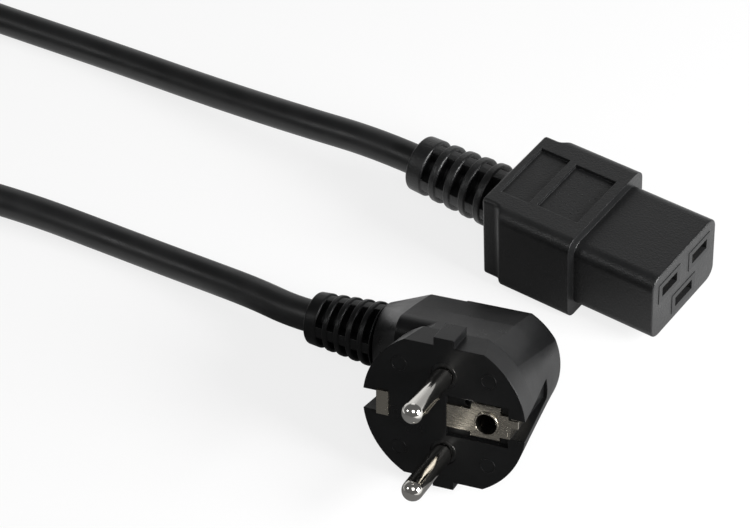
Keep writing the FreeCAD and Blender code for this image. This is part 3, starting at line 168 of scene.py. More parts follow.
# %% Flex curve
route = from_connector + coil + to_plug
curve = bpy.data.curves.new("flex", "CURVE")
curve.dimensions = "3D"
curve.bevel_depth = FLEX_DIAMETER / 2
curve.bevel_resolution = 10
curve.use_fill_caps = True
curve.resolution_u = 6
spline = curve.splines.new("NURBS")
spline.points.add(len(route) - 1)
for point, place in zip(spline.points, route):
    point.co = (*place, 1.0)
spline.order_u = 3
spline.use_endpoint_u = True
flex = bpy.data.objects.new("flex", curve)
bpy.context.scene.collection.objects.link(flex)


def curve_length(owner):
    """Length of a curve's own line, measured on its evaluated points without the bevel."""
    bare = owner.data.copy()
    bare.bevel_depth = 0
    probe = bpy.data.objects.new("probe", bare)
    bpy.context.scene.collection.objects.link(probe)
    line = bpy.data.meshes.new_from_object(probe.evaluated_get(bpy.context.evaluated_depsgraph_get()))
    total = sum((line.vertices[edge.vertices[0]].co - line.vertices[edge.vertices[1]].co).length
                for edge in line.edges)
    bpy.data.objects.remove(probe)
    bpy.data.curves.remove(bare)
    bpy.data.meshes.remove(line)
    return total


flex_length = curve_length(flex)
print("flex length:", round(flex_length, 3), "m")


# %% [markdown]
# ## Helpers for node trees
# Every finish and every repeated detail below is a tree of nodes. Building one in a script is repetitive:
# add a node, set it up, join its inputs. A few short helpers keep each tree readable, a line for each node.

# %% Node helpers
def add(tree, kind, inputs=None, **settings):
    """One more node: its settings, and for each input either a value or the socket that feeds it."""
    node = tree.nodes.new(kind)
    for name, value in settings.items():
        setattr(node, name, value)
    for name, value in (inputs or {}).items():
        if isinstance(value, bpy.types.NodeSocket):
            tree.links.new(value, node.inputs[name])
        else:
            node.inputs[name].default_value = value
    return node


def new_finish(name):
    """A new material: itself, its tree, its shader, and the place of each point in metres."""
    made = bpy.data.materials.new(name)
    made.use_nodes = True
    tree = made.node_tree
    place = add(tree, "ShaderNodeTexCoord").outputs["Object"]
    return made, tree, tree.nodes["Principled BSDF"], place


def feed(tree, shader, **inputs):
    """Join sockets to the shader's inputs, or set them; an underscore stands for a space."""
    for name, value in inputs.items():
        socket = shader.inputs[name.replace("_", " ")]
        if isinstance(value, bpy.types.NodeSocket):
            tree.links.new(value, socket)
        else:
            socket.default_value = value


def shade_between(tree, factor, dark, light):
    """A colour that runs from dark to light with a factor."""
    mix = add(tree, "ShaderNodeMix", {0: factor}, data_type="RGBA")
    mix.inputs[6].default_value = (*dark, 1)
    mix.inputs[7].default_value = (*light, 1)
    return mix.outputs[2]


def spread(tree, factor, low, high):
    """A number from low to high, as a noise that stays near its middle runs from 0.3 to 0.7."""
    return add(tree, "ShaderNodeMapRange", {"Value": factor, "From Min": 0.3, "From Max": 0.7,
                                            "To Min": low, "To Max": high}).outputs["Result"]


# %% [markdown]
# ## Black PVC
# Both blocks are PVC, injected round the cores and contacts. The steel mould is spark eroded, so the PVC
# comes out with a fine grain and a soft gloss, and handling polishes it unevenly. A fine noise gives the
# grain as bump, and a slow noise varies the gloss and the shade. The Bevel node rounds every edge in the
# shading alone, as the mould's cutter does, and leaves the CAD mesh as it is.

# %% Black PVC
def grained(name, dark, light, roughness, grain, depth, edge, specular):
    """PVC from a grained mould: its two shades, its gloss, the grain's size and depth, the edges' radius."""
    made, tree, shader, place = new_finish(name)
    fine = add(tree, "ShaderNodeTexNoise", {"Vector": place, "Scale": 1 / grain, "Detail": 2.0})
    slow = add(tree, "ShaderNodeTexNoise", {"Vector": place, "Scale": 90.0, "Detail": 4.0, "Roughness": 0.6})
    edges = add(tree, "ShaderNodeBevel", {"Radius": edge}, samples=6)
    bump = add(tree, "ShaderNodeBump", {"Height": fine.outputs["Fac"], "Distance": depth, "Strength": 1.0,
                                        "Normal": edges.outputs["Normal"]})
    feed(tree, shader, Base_Color=shade_between(tree, slow.outputs["Fac"], dark, light),
         Roughness=spread(tree, slow.outputs["Fac"], roughness - 0.06, roughness + 0.08),
         Specular_IOR_Level=specular, Normal=bump.outputs["Normal"])
    return made


FINISHES = {
    "overmould_pvc": grained("connector_pvc", (0.004, 0.0042, 0.0044), (0.008, 0.0082, 0.0085),
                             0.38, 0.42 * MM, 0.090 * MM, 0.30 * MM, 0.50),
    "plug_pvc": grained("plug_pvc", (0.003, 0.0031, 0.0033), (0.006, 0.0062, 0.0064),
                        0.32, 0.40 * MM, 0.022 * MM, 0.30 * MM, 0.24),
    "carrier_plastic": grained("carrier_plastic", (0.006, 0.0062, 0.0065), (0.012, 0.0123, 0.0126),
                               0.46, 0.30 * MM, 0.012 * MM, 0.12 * MM, 0.40),
}
print("black plastics:", ", ".join(FINISHES))

# %% [markdown]
# ## Metal
# The pins are turned from brass and plated with bright nickel, the earth plate and its strip are stamped
# from sheet and only satin. Both are the same shader with a different gloss. Turning leaves rings round the
# pins, and rolling leaves streaks along the sheet, both far too fine to model. One noise serves for the two
# as a faint bump: it is squeezed across the marks and drawn out along them.

# %% Metal
def plated(name, dark, light, roughness, streaks, depth, edge):
    """Plated metal: two shades, its gloss, and streaks with a scale along each axis."""
    made, tree, shader, place = new_finish(name)
    drawn = add(tree, "ShaderNodeMapping", {"Vector": place, "Scale": streaks})
    lines = add(tree, "ShaderNodeTexNoise", {"Vector": drawn.outputs["Vector"], "Scale": 1.0, "Detail": 3.0})
    slow = add(tree, "ShaderNodeTexNoise", {"Vector": place, "Scale": 220.0, "Detail": 3.0})
    edges = add(tree, "ShaderNodeBevel", {"Radius": edge}, samples=6)
    bump = add(tree, "ShaderNodeBump", {"Height": lines.outputs["Fac"], "Distance": depth, "Strength": 1.0,
                                        "Normal": edges.outputs["Normal"]})
    feed(tree, shader, Metallic=1.0, Base_Color=shade_between(tree, slow.outputs["Fac"], dark, light),
         Roughness=spread(tree, lines.outputs["Fac"], roughness * 0.92, roughness * 1.08),
         Normal=bump.outputs["Normal"])
    return made


FINISHES["pin_nickel"] = plated("pin_nickel", (0.74, 0.72, 0.68), (0.84, 0.82, 0.78), 0.10,
                                (900, 9000, 2500), 0.0008 * MM, 0.05 * MM)
FINISHES["earth_nickel"] = plated("earth_nickel", (0.38, 0.35, 0.30), (0.46, 0.43, 0.37), 0.27,
                                  (250, 250, 2500), 0.00008 * MM, 0.08 * MM)
FINISHES["contact_metal"] = plated("contact_metal", (0.62, 0.58, 0.50), (0.74, 0.70, 0.62), 0.30,
                                   (600, 6000, 6000), 0.002 * MM, 0.05 * MM)
print("finishes so far:", len(FINISHES))

# %% [markdown]
# ## The flex's sheath
# An extruder draws the sheath through a die, which leaves it smooth, with shallow waves where the twisted
# cores show through. The waves follow the flex, so a pattern on the curve's own length would fit best, but
# they are so shallow that a slow noise does as well, and it needs no map of the surface.

# %% Sheath
def extruded(name, dark, light):
    """Extruded PVC: a soft sheen, shallow waves and a fine skin texture."""
    made, tree, shader, place = new_finish(name)
    waves = add(tree, "ShaderNodeTexNoise", {"Vector": place, "Scale": 120.0, "Detail": 2.0})
    fine = add(tree, "ShaderNodeTexNoise", {"Vector": place, "Scale": 3000.0, "Detail": 2.0})
    skin = add(tree, "ShaderNodeBump",
               {"Height": fine.outputs["Fac"], "Distance": 0.006 * MM, "Strength": 1.0})
    bump = add(tree, "ShaderNodeBump",
               {"Height": waves.outputs["Fac"], "Distance": 0.25 * MM, "Strength": 0.6,
                "Normal": skin.outputs["Normal"]})
    feed(tree, shader, Base_Color=shade_between(tree, waves.outputs["Fac"], dark, light),
         Roughness=spread(tree, waves.outputs["Fac"], 0.36, 0.46), Normal=bump.outputs["Normal"])
    return made


FINISHES["cord_sheath"] = extruded("cord_sheath", (0.004, 0.0042, 0.0045), (0.009, 0.0093, 0.0096))
print("sheath:", FINISHES["cord_sheath"].name)

# %% [markdown]
# ## Cores and strands
# Nobody sees the cores unless the blocks are cut open, but someone may do just that with a reusable part.
# Brown, blue and green with yellow are the colours for line, neutral and earth. The yellow goes round its
# core as a band, so a wave texture at a slant cuts the green. The bare strands are a wave as well.

# %% Cores and strands
def banded(name, first, second, slant, pitch, share, roughness, depth, metallic=0.0):
    """Two colours in slanting bands; the second takes a share of each band."""
    made, tree, shader, place = new_finish(name)
    turned = add(tree, "ShaderNodeMapping", {"Vector": place, "Rotation": (0, 0, math.radians(slant))})
    wave = add(tree, "ShaderNodeTexWave", {"Vector": turned.outputs["Vector"], "Scale": 0.05 / pitch,
                                           "Distortion": 0.4})
    ramp = add(tree, "ShaderNodeMapRange", {"Value": wave.outputs["Fac"], "From Min": 0.95 - share,
                                            "From Max": 1.05 - share})
    slow = add(tree, "ShaderNodeTexNoise", {"Vector": place, "Scale": 400.0})
    bump = add(tree, "ShaderNodeBump", {"Height": wave.outputs["Fac"], "Distance": depth, "Strength": 1.0})
    feed(tree, shader, Base_Color=shade_between(tree, ramp.outputs["Result"], first, second),
         Roughness=spread(tree, slow.outputs["Fac"], roughness - 0.05, roughness + 0.05),
         Metallic=metallic, Normal=bump.outputs["Normal"])
    return made


FINISHES["core_brown"] = banded("core_brown", (0.16, 0.065, 0.028), (0.20, 0.085, 0.036),
                                slant=0, pitch=5 * MM, share=0.5, roughness=0.35, depth=0)
FINISHES["core_blue"] = banded("core_blue", (0.035, 0.13, 0.40), (0.045, 0.16, 0.46),
                               slant=0, pitch=5 * MM, share=0.5, roughness=0.35, depth=0)
FINISHES["core_green_yellow"] = banded("core_green_yellow", (0.03, 0.30, 0.05), (0.80, 0.62, 0.04),
                                       slant=35, pitch=6 * MM, share=0.4, roughness=0.35, depth=0)
FINISHES["copper_strands"] = banded("copper_strands", (0.70, 0.30, 0.16), (0.90, 0.48, 0.28),
                                    slant=20, pitch=0.3 * MM, share=0.5, roughness=0.30,
                                    depth=0.03 * MM, metallic=1.0)
print("finishes so far:", len(FINISHES))

# %% [markdown]
# Each CAD piece names a material slot. Where a finish has that name, it takes the piece's material's place.
# The flex wears the same sheath as the short ends that show through the boots' windows.

# %% Finish the CAD pieces
for subpart in frame["record"]["subparts"]:
    finish = FINISHES.get(subpart["material_slot"])
    if finish:
        for place_for_finish in frame["nodes"][subpart["node"]].material_slots:
            place_for_finish.material = finish
flex.data.materials.append(FINISHES["cord_sheath"])

# %% [markdown]
# ## Fine detail by Geometry Nodes
# What repeats is grown by a tree of Geometry Nodes: it takes a small host mesh, named sizes and a finish,
# and gives back the finished detail. One helper starts such a tree and one ends it. A third runs it on a host
# and keeps the result as a plain mesh, because instances and live modifiers don't leave Blender.

# %% Geometry tree helpers
def geometry_tree(name, **sizes):
    """A tree with a mesh, named sizes and a finish as its inputs; an underscore stands for a space."""
    tree = bpy.data.node_groups.new(name, "GeometryNodeTree")
    tree.interface.new_socket("Host", in_out="INPUT", socket_type="NodeSocketGeometry")
    for label, default in sizes.items():
        socket = tree.interface.new_socket(label.replace("_", " "), in_out="INPUT",
                                           socket_type="NodeSocketFloat")
        socket.default_value = default
    tree.interface.new_socket("Finish", in_out="INPUT", socket_type="NodeSocketMaterial")
    tree.interface.new_socket("Detail", in_out="OUTPUT", socket_type="NodeSocketGeometry")
    return tree, tree.nodes.new("NodeGroupInput").outputs


def hand_out(tree, asked, instances):
    """End a tree: make the instances real, give them the finish, hand them out."""
    real = add(tree, "GeometryNodeRealizeInstances", {"Geometry": instances})
    finished = add(tree, "GeometryNodeSetMaterial",
                   {"Geometry": real.outputs[0], "Material": asked["Finish"]})
    add(tree, "NodeGroupOutput", {"Detail": finished.outputs[0]})


def grow(name, tree, host_mesh, slot, **sizes):
    """Run a tree on a host mesh and keep what it grows as a piece of its own."""
    host = bpy.data.objects.new(name + "_host", host_mesh)
    bpy.context.scene.collection.objects.link(host)
    modifier = host.modifiers.new("grow", "NODES")
    modifier.node_group = tree
    sizes["Finish"] = FINISHES[slot]
    for socket in tree.interface.items_tree:
        value = sizes.get(socket.name.replace(" ", "_"))
        if value is not None and socket.in_out == "INPUT":
            modifier[socket.identifier] = value
    evaluated = host.evaluated_get(bpy.context.evaluated_depsgraph_get())
    mesh = bpy.data.meshes.new_from_object(evaluated)
    bpy.data.objects.remove(host)
    return new_piece(name, mesh, slot)


def new_piece(name, mesh, slot):
    """A finished piece that rides on the lead."""
    mesh.name = name
    if not mesh.materials:
        mesh.materials.append(FINISHES[slot])
    piece = bpy.data.objects.new(name, mesh)
    bpy.context.scene.collection.objects.link(piece)
    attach(piece, ROOT)
    print(f"{name}: {len(mesh.polygons)} faces")
    return piece


# %% [markdown]
# ## Pips on the grip
# The panel nearer the nose has a roughened floor for the thumb. Its pips are drops of PVC a third of a
# millimetre wide where the mould is pitted. Points scattered with a least distance look like etching,
# neither a grid nor clumps, and each takes a squashed ball with a size and turn of its own.

# %% Pips on the grip
GRIP_LOW, GRIP_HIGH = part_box("connector_overmould")
NOSE_LENGTH = 21.3 * MM
PANEL_LENGTH, PANEL_WIDTH, PANEL_DEPTH, PANEL_INSET = 11.1 * MM, 16.8 * MM, 0.9 * MM, 2.4 * MM
PANEL_MARGIN = 1.0 * MM
grip_front = GRIP_HIGH[0] - NOSE_LENGTH

pips, asked = geometry_tree("pips", Spacing=0.001, Density=500000.0, Size=0.0002)
points = add(pips, "GeometryNodeDistributePointsOnFaces",
             {"Mesh": asked["Host"], "Distance Min": asked["Spacing"], "Density Max": asked["Density"],
              "Seed": 11}, distribute_method="POISSON")
drop = add(pips, "GeometryNodeMeshIcoSphere", {"Radius": asked["Size"], "Subdivisions": 2})
turn = add(pips, "FunctionNodeRandomValue", {0: (0, 0, 0), 1: (0.3, 0.3, 6.28), "Seed": 3},
           data_type="FLOAT_VECTOR")
swell = add(pips, "FunctionNodeRandomValue", {0: (0.6, 0.5, 0.25), 1: (1.8, 1.0, 0.5), "Seed": 5},
            data_type="FLOAT_VECTOR")
scattered = add(pips, "GeometryNodeInstanceOnPoints",
                {"Points": points.outputs["Points"], "Instance": drop.outputs["Mesh"],
                 "Rotation": turn.outputs[0], "Scale": swell.outputs[0]})
hand_out(pips, asked, scattered.outputs[0])

front = grip_front - PANEL_INSET - PANEL_MARGIN
back = grip_front - PANEL_INSET - PANEL_LENGTH + PANEL_MARGIN
side, level = PANEL_WIDTH / 2 - PANEL_MARGIN, GRIP_HIGH[2] - PANEL_DEPTH
panel_floor = bpy.data.meshes.new("panel_floor")
panel_floor.from_pydata([(back, -side, level), (front, -side, level),
                         (front, side, level), (back, side, level)], [], [(0, 1, 2, 3)])
grow("grip_pips", pips, panel_floor, "overmould_pvc", Spacing=0.9 * MM, Size=0.17 * MM)

# %% [markdown]
# ## Parting lines
# The two halves of the mould meet halfway up the grip, and where they meet a hair of PVC stands proud.
# It follows the side and the rounded front corner, so it is a thin bead along a curve.

# %% Parting lines
BEAD_RADIUS = 0.06 * MM
BEAD_SUNK = 0.04 * MM
GRIP_HALF = GRIP_HIGH[1] - BEAD_SUNK
NOSE_HALF = 13.75 * MM
EDGE_ROUND = 0.7 * MM
SIDE_LENGTH = 18.5 * MM
PARTING_LEVEL = (GRIP_LOW[2] + GRIP_HIGH[2]) / 2


def parting_line(side):
    """Along one side of the grip, round its front corner and in to the nose."""
    yield Vector((grip_front - SIDE_LENGTH, side * GRIP_HALF, PARTING_LEVEL))
    for step in range(7):
        turn = math.radians(90 - 15 * step)
        yield Vector((grip_front - EDGE_ROUND * (1 - math.cos(turn)),
                      side * (GRIP_HALF - EDGE_ROUND * (1 - math.sin(turn))), PARTING_LEVEL))
    yield Vector((grip_front, side * NOSE_HALF, PARTING_LEVEL))


beads = bpy.data.curves.new("parting_lines", "CURVE")
beads.dimensions = "3D"
beads.bevel_depth = BEAD_RADIUS
beads.bevel_resolution = 2
beads.use_fill_caps = True
for side in (-1, 1):
    line = beads.splines.new("POLY")
    places = list(parting_line(side))
    line.points.add(len(places) - 1)
    for point, place in zip(line.points, places):
        point.co = (*place, 1.0)
bead_object = bpy.data.objects.new("beads", beads)
bpy.context.scene.collection.objects.link(bead_object)
bead_mesh = bpy.data.meshes.new_from_object(bead_object.evaluated_get(bpy.context.evaluated_depsgraph_get()))
bpy.data.objects.remove(bead_object)
new_piece("parting_lines", bead_mesh, "overmould_pvc")

# %% [markdown]
# ## Ejector rings on the plug's face
# Four round pins push the plug out of its mould, and each leaves a thin raised ring on the face. They are
# drawn in the plug's own frame, which its two pins give: one axis along them, one from pin to pin.

# %% The plug's own frame
mounts = {mount["name"]: mount for mount in frame["record"]["mounts"]}
line_at, neutral_at = (Vector(mounts[name]["pos_m"]) for name in ("line_pin", "neutral_pin"))
outwards = Vector(mounts["line_pin"]["axis"])
BOSS_SINK = 0.4 * MM
half_span = mounts["line_pin"]["dims"]["length_mm"] / 2 * MM
face_centre = (line_at + neutral_at) / 2 - outwards * (half_span - BOSS_SINK)
up = (line_at - neutral_at).normalized()
plug_frame = Matrix.Identity(4)
for column, axis in enumerate((up.cross(outwards), up, outwards)):
    plug_frame.col[column][:3] = axis
plug_frame.translation = face_centre
print("centre of the plug's face:", face_centre)

# %% Ejector rings
rings, asked = geometry_tree("ejector_rings", Radius=0.0015, Bead=0.0001)
ring = add(rings, "GeometryNodeCurvePrimitiveCircle", {"Resolution": 40, "Radius": asked["Radius"]})
section = add(rings, "GeometryNodeCurvePrimitiveCircle", {"Resolution": 8, "Radius": asked["Bead"]})
bead = add(rings, "GeometryNodeCurveToMesh", {"Curve": ring.outputs[0], "Profile Curve": section.outputs[0]})
placed = add(rings, "GeometryNodeInstanceOnPoints", {"Points": asked["Host"], "Instance": bead.outputs[0]})
hand_out(rings, asked, placed.outputs[0])

REACH = 10.4 * MM
corners = bpy.data.meshes.new("ring_places")
corners.from_pydata([(x * REACH, y * REACH, 0) for x in (-1, 1) for y in (-1, 1)], [], [])
ejector_rings = grow("ejector_rings", rings, corners, "plug_pvc", Radius=1.7 * MM, Bead=0.09 * MM)
ejector_rings.data.transform(plug_frame)

# %% [markdown]
# ## The strap round the coil
# A hook-and-loop strap holds the coil: one length of woven tape that goes once round all the turns and on
# over its own start. The tape's path is a walk round a rectangle with round corners, a small gap away from
# it. The second lap has a larger gap, so it rides on the first.

# %% Strap: the walk round the bundle
STRAP_TURN = math.radians(205)
STRAP_WIDTH = 12 * MM
ROOM = 0.4 * MM
CORNER = FLEX_DIAMETER / 4
innermost = INNER_LANE - FLEX_DIAMETER / 2
near = math.sqrt(innermost ** 2 - (STRAP_WIDTH / 2) ** 2) - ROOM
far = OUTER_LANE + FLEX_DIAMETER / 2 + ROOM
top = UPPER_LAYER + FLEX_DIAMETER / 2 + ROOM
half_across = (far - near) / 2 - CORNER
half_up = (top - TIE_SHEET) / 2 - CORNER
bundle_middle = Vector(((near + far) / 2, (top + TIE_SHEET) / 2))
skeleton = [Vector((half_across, half_up)), Vector((half_across, -half_up)),
            Vector((-half_across, -half_up)), Vector((-half_across, half_up))]
faces_out = [Vector((0, 1)), Vector((1, 0)), Vector((0, -1)), Vector((-1, 0))]
CORNER_WALK = (CORNER + TIE_SHEET / 2) * math.pi / 2
LAP = 4 * (half_across + half_up) + 4 * CORNER_WALK


def round_bundle(walk):
    """Where the walk has come to on the bundle's skeleton, and which way is out."""
    walk %= LAP
    for side in range(4):
        start, end, out = skeleton[side - 1], skeleton[side], faces_out[side]
        length = (end - start).length
        if walk <= length:
            return start.lerp(end, walk / length), out
        walk -= length
        if walk <= CORNER_WALK:
            turn = -walk / CORNER_WALK * math.pi / 2
            return end, Vector((out.x * math.cos(turn) - out.y * math.sin(turn),
                                out.x * math.sin(turn) + out.y * math.cos(turn)))
        walk -= CORNER_WALK
    return end, faces_out[0]


print("one lap of the strap:", round(LAP / MM, 1), "mm")

# %% Strap: the tape
LIFT_OVER = 4 * MM
TAPE_EDGE = 0.28 * MM
TAPE_END = 7 * MM
HOOPS = 130
BARE_SHARE = 0.03
tape_length = LAP + 2 * half_across + CORNER_WALK + TAPE_END
outwards_at_strap = Vector((math.cos(STRAP_TURN), math.sin(STRAP_TURN), 0))
along_coil = Vector((-outwards_at_strap.y, outwards_at_strap.x, 0))


def tape_point(walk, across, thick):
    """A point of the tape, its width along the coil and its thickness away from the bundle."""
    flat, out = round_bundle(walk)
    over = min(1.0, max(0.0, (walk - LAP + LIFT_OVER) / LIFT_OVER))
    gap = CORNER + TIE_SHEET * (0.5 + over * over * (3 - 2 * over)) + thick
    spot = bundle_middle + flat + out * gap
    return COIL_CENTRE + outwards_at_strap * spot.x + Vector((0, 0, spot.y)) + along_coil * across


def tape_section():
    """The tape's section: a flat strip with round edges, as pairs across and through."""
    for corner, (x, y) in enumerate(((1, 1), (-1, 1), (-1, -1), (1, -1))):
        for step in range(4):
            turn = math.pi / 2 * (corner + step / 3)
            yield (x * (STRAP_WIDTH / 2 - TAPE_EDGE) + TAPE_EDGE * math.cos(turn),
                   y * (TIE_SHEET / 2 - TAPE_EDGE) + TAPE_EDGE * math.sin(turn))


tape = bmesh.new()
map_layer = tape.loops.layers.uv.new("tape")
pile_layer = tape.faces.layers.bool.new("pile")
section = list(tape_section())
laps = [tape_length * step / HOOPS for step in range(HOOPS + 1)]
hoops = [[tape.verts.new(tape_point(walk, *pair)) for pair in section] for walk in laps]
for (walk, hoop), (next_walk, next_hoop) in zip(zip(laps, hoops), zip(laps[1:], hoops[1:])):
    for number in range(len(section)):
        other = (number + 1) % len(section)
        face = tape.faces.new((hoop[number], hoop[other], next_hoop[other], next_hoop[number]))
        face.smooth = True
        face[pile_layer] = section[number][1] > 0 and section[other][1] > 0 and walk > LAP * BARE_SHARE
        for loop, where in zip(face.loops, ((walk, section[number]), (walk, section[other]),
                                            (next_walk, section[other]), (next_walk, section[number]))):
            loop[map_layer].uv = (where[0] / STRAP_WIDTH, where[1][0] / STRAP_WIDTH)
tape.faces.new(hoops[0])
tape.faces.new(reversed(hoops[-1]))
bmesh.ops.recalc_face_normals(tape, faces=tape.faces)
tape_mesh = bpy.data.meshes.new("coil_strap")
tape.to_mesh(tape_mesh)
tape.free()
print("tape:", round(tape_length / MM, 1), "mm long,", len(tape_mesh.polygons), "faces")

# %% [markdown]
# ## Woven tape
# The tape is woven from nylon, so its finish follows the tape and not the room: the mesh carries a map of
# its own, once along and once across, and two waves on that map make the crossing threads. On the outside
# stands the pile that the hooks catch, thin loops of yarn, which Geometry Nodes scatter over the marked
# faces that don't lie on the floor.

# %% Woven tape
def woven(name, dark, light, threads, depth):
    """Black tape: crossing threads on the tape's own map, and a little fuzz in the shade."""
    made, tree, shader, place = new_finish(name)
    tape_map = add(tree, "ShaderNodeUVMap", uv_map="tape").outputs["UV"]
    warp = add(tree, "ShaderNodeTexWave", {"Vector": tape_map, "Scale": threads / 20}, bands_direction="Y")
    weft = add(tree, "ShaderNodeTexWave", {"Vector": tape_map, "Scale": threads / 20}, bands_direction="X")
    cloth = add(tree, "ShaderNodeMath", {0: warp.outputs["Fac"], 1: weft.outputs["Fac"]},
                operation="MULTIPLY")
    fuzz = add(tree, "ShaderNodeTexNoise", {"Vector": place, "Scale": 1500.0, "Detail": 3.0})
    bump = add(tree, "ShaderNodeBump", {"Height": cloth.outputs[0], "Distance": depth, "Strength": 1.0})
    feed(tree, shader, Base_Color=shade_between(tree, fuzz.outputs["Fac"], dark, light),
         Roughness=spread(tree, fuzz.outputs["Fac"], 0.75, 0.95), Sheen_Weight=0.3,
         Normal=bump.outputs["Normal"])
    return made


FINISHES["tie_strap"] = woven("tie_strap", (0.010, 0.010, 0.011), (0.024, 0.024, 0.026), 24, 0.12 * MM)
coil_strap = new_piece("coil_strap", tape_mesh, "tie_strap")
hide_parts("coil_tie")

# %% Pile on the strap
pile, asked = geometry_tree("pile", Spacing=0.0008, Loop=0.0003, Yarn=0.00005)
marked = add(pile, "GeometryNodeInputNamedAttribute", {"Name": "pile"}, data_type="BOOLEAN")
normal = add(pile, "ShaderNodeSeparateXYZ", {0: add(pile, "GeometryNodeInputNormal").outputs[0]})
off_floor = add(pile, "FunctionNodeCompare", {0: normal.outputs["Z"], 1: -0.2}, operation="GREATER_THAN")
chosen = add(pile, "FunctionNodeBooleanMath", {0: marked.outputs["Attribute"], 1: off_floor.outputs[0]},
             operation="AND")
roots = add(pile, "GeometryNodeDistributePointsOnFaces",
            {"Mesh": asked["Host"], "Selection": chosen.outputs[0], "Distance Min": asked["Spacing"],
             "Density Max": 3000000.0, "Seed": 2}, distribute_method="POISSON")
circle = add(pile, "GeometryNodeCurvePrimitiveCircle", {"Resolution": 7, "Radius": asked["Loop"]})
stood = add(pile, "GeometryNodeTransform", {"Geometry": circle.outputs[0], "Rotation": (math.pi / 2, 0, 0)})
yarn = add(pile, "GeometryNodeCurvePrimitiveCircle", {"Resolution": 3, "Radius": asked["Yarn"]})
loop = add(pile, "GeometryNodeCurveToMesh", {"Curve": stood.outputs[0], "Profile Curve": yarn.outputs[0]})
spin = add(pile, "FunctionNodeRandomValue", {0: (-0.5, -0.5, 0), 1: (0.5, 0.5, 6.28), "Seed": 8},
           data_type="FLOAT_VECTOR")
leaning = add(pile, "FunctionNodeRotateRotation", {0: roots.outputs["Rotation"], 1: spin.outputs[0]},
              rotation_space="LOCAL")
tufts = add(pile, "GeometryNodeInstanceOnPoints",
            {"Points": roots.outputs["Points"], "Instance": loop.outputs[0], "Rotation": leaning.outputs[0]})
hand_out(pile, asked, tufts.outputs[0])
strap_pile = grow("strap_pile", pile, tape_mesh.copy(), "tie_strap", Spacing=0.75 * MM, Loop=0.24 * MM,
                  Yarn=0.04 * MM)

PLUG_PIECES = ["plug_overmould", "plug_bridge", "plug_sheath", "earth_strip", "earth_plate", "earth_socket",
               "line_pin", "neutral_pin"]
PLUG_PIECES += [f"plug_{pole}_{part}" for pole in ("line", "neutral", "earth") for part in ("core", "wire")]
print("pieces of the plug:", len(PLUG_PIECES))
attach(flex, ROOT)
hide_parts("cord_from_connector", "cord_coil", "cord_to_plug")

# %% [markdown]
# ## Stage and light
# The lead lies on a plain white floor. The floor glows for the camera, so it comes out white there, while its
# own diffuse part still catches the soft shadow. Light that bounces off it is left as it is.
#
# In reflections the glow is graded: dark in front of the lead, so that the sides and faces that lean towards
# the floor stay deep black, and pale to the right and behind it, where the plug's side and the pins pick up a
# bright sweep. The world does the same: pale to look at, a quiet grey to light with.

# %% Stage helpers
def larger_of(tree, first, second):
    """The larger of two numbers."""
    return add(tree, "ShaderNodeMath", {0: first, 1: second}, operation="MAXIMUM").outputs[0]


def share_of_rays(tree, camera, glossy):
    """How much a surface or the world glows for each kind of ray."""
    rays = add(tree, "ShaderNodeLightPath").outputs
    seen = add(tree, "ShaderNodeMath", {0: rays["Is Camera Ray"], 1: camera}, operation="MULTIPLY")
    both = add(tree, "ShaderNodeMath", {0: rays["Is Glossy Ray"], 1: rays["Is Transmission Ray"]},
               operation="MAXIMUM")
    mirrored = add(tree, "ShaderNodeMath", {0: both.outputs[0], 1: glossy}, operation="MULTIPLY")
    return larger_of(tree, seen.outputs[0], mirrored.outputs[0])


def graded(tree, coordinates, way, start, end, low, high):
    """A number that runs from low to high, from start to end along a way."""
    place = add(tree, "ShaderNodeTexCoord").outputs[coordinates]
    along = add(tree, "ShaderNodeVectorMath", {0: place, 1: way}, operation="DOT_PRODUCT")
    return add(tree, "ShaderNodeMapRange",
               {"Value": along.outputs["Value"], "From Min": start, "From Max": end,
                "To Min": low, "To Max": high}).outputs["Result"]


# %% Floor
GLOW_SEEN, GLOW_MIRRORED, REFLECTED_GLOW_DIM = 0.80, 0.90, 0.08
FLOOR_REACH = 3.0

floor_finish = bpy.data.materials.new("floor")
floor_finish.use_nodes = True
floor_tree = floor_finish.node_tree
paint = floor_tree.nodes["Principled BSDF"]
paint.inputs["Base Color"].default_value = (0.86, 0.86, 0.86, 1)
paint.inputs["Roughness"].default_value = 1.0
paint.inputs["Specular IOR Level"].default_value = 0.0

# Painted reflections: the floor glows only in reflections. The glow is dim in front of the lead. Behind it to
# the right it is pale, for the nose's front, the plug's side and the pins. Behind it to the left it is pale,
# for a bright band in the grip's waist hollow and on the flex's underside.
reflected_glow_right = graded(floor_tree, "Object", (1.0, 0.8, 0), -0.010, 0.045, REFLECTED_GLOW_DIM, 1.0)
reflected_glow_left = graded(floor_tree, "Object", (-1.0, 0.8, 0), -0.004, 0.014, REFLECTED_GLOW_DIM, 0.8)
seen_directly = add(floor_tree, "ShaderNodeLightPath").outputs["Is Camera Ray"]
strength = larger_of(floor_tree, seen_directly, larger_of(floor_tree, reflected_glow_right, reflected_glow_left))
glow = add(floor_tree, "ShaderNodeEmission", {"Color": (1, 1, 1, 1), "Strength": strength})
blend = add(floor_tree, "ShaderNodeMixShader",
            {0: share_of_rays(floor_tree, GLOW_SEEN, GLOW_MIRRORED), 1: paint.outputs[0], 2: glow.outputs[0]})
floor_tree.links.new(blend.outputs[0], floor_tree.nodes["Material Output"].inputs["Surface"])

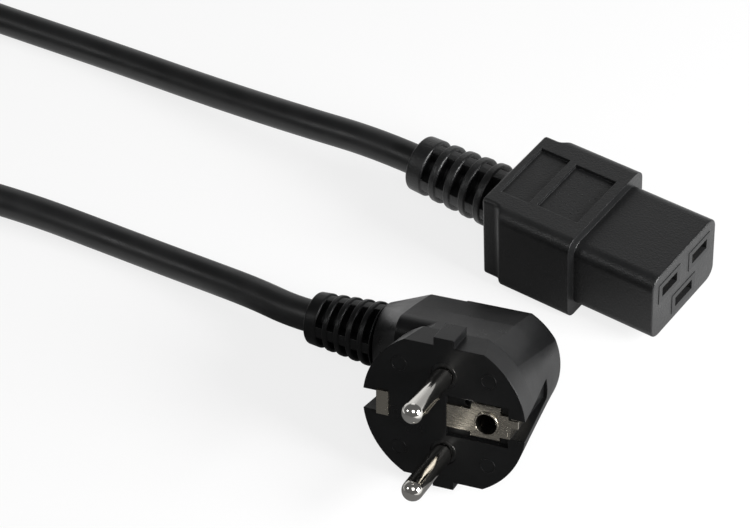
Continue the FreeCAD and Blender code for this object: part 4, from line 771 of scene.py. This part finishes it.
floor_mesh = bpy.data.meshes.new("floor")
floor_mesh.from_pydata([(-FLOOR_REACH, -FLOOR_REACH, 0), (FLOOR_REACH, -FLOOR_REACH, 0),
                        (FLOOR_REACH, FLOOR_REACH, 0), (-FLOOR_REACH, FLOOR_REACH, 0)], [], [(0, 1, 2, 3)])
floor_mesh.materials.append(floor_finish)
floor = bpy.data.objects.new("floor", floor_mesh)
bpy.context.scene.collection.objects.link(floor)
print("floor:", 2 * FLOOR_REACH, "m wide")

# %% World
WORLD_LIGHT = 0.12
world = bpy.data.worlds.new("studio")
world.use_nodes = True
bpy.context.scene.world = world
sky = world.node_tree
backdrop = graded(sky, "Generated", (-0.50, 0.70, -0.80), 0.15, 0.65, 0.06, 0.8)
strength = larger_of(sky, share_of_rays(sky, 1.0, backdrop), WORLD_LIGHT)
sky.nodes["Background"].inputs["Color"].default_value = (1, 1, 1, 1)
sky.links.new(strength, sky.nodes["Background"].inputs["Strength"])
bpy.context.scene.view_settings.view_transform = "Standard"
print("world:", world.name)

# %% [markdown]
# ## Lamps
# Black plastic shows its shape by what it mirrors, not by its colour, so each lamp has one surface to draw.
# The key stands low on the right and lights the nose's front and the plug's side. The fill softens the front,
# the sheen lies on the tops, and the edge lamp puts a thin line along the blocks' long front edges.

# %% Lamps
MIDDLE_OF_LEAD = Vector((0, -0.03, 0))


def softbox(name, place, size, power):
    """A square lamp that looks at the middle of the lead."""
    lamp = bpy.data.lights.new(name, "AREA")
    lamp.size = size
    lamp.energy = power
    box = bpy.data.objects.new(name, lamp)
    bpy.context.scene.collection.objects.link(box)
    aim = (MIDDLE_OF_LEAD - Vector(place)).to_track_quat("-Z", "Y").to_matrix().to_4x4()
    box.matrix_world = Matrix.Translation(place) @ aim


softbox("key_softbox", (0.60, 0.05, 0.25), 0.30, 10.5)
softbox("fill_softbox", (0.24, -0.34, 0.48), 0.24, 0.7)
softbox("sheen_softbox", (-0.32, 0.50, 0.50), 0.35, 0.22)
softbox("edge_softbox", (-0.42, -0.64, 0.54), 0.16, 0.7)
print("lamps:", len(bpy.data.lights))
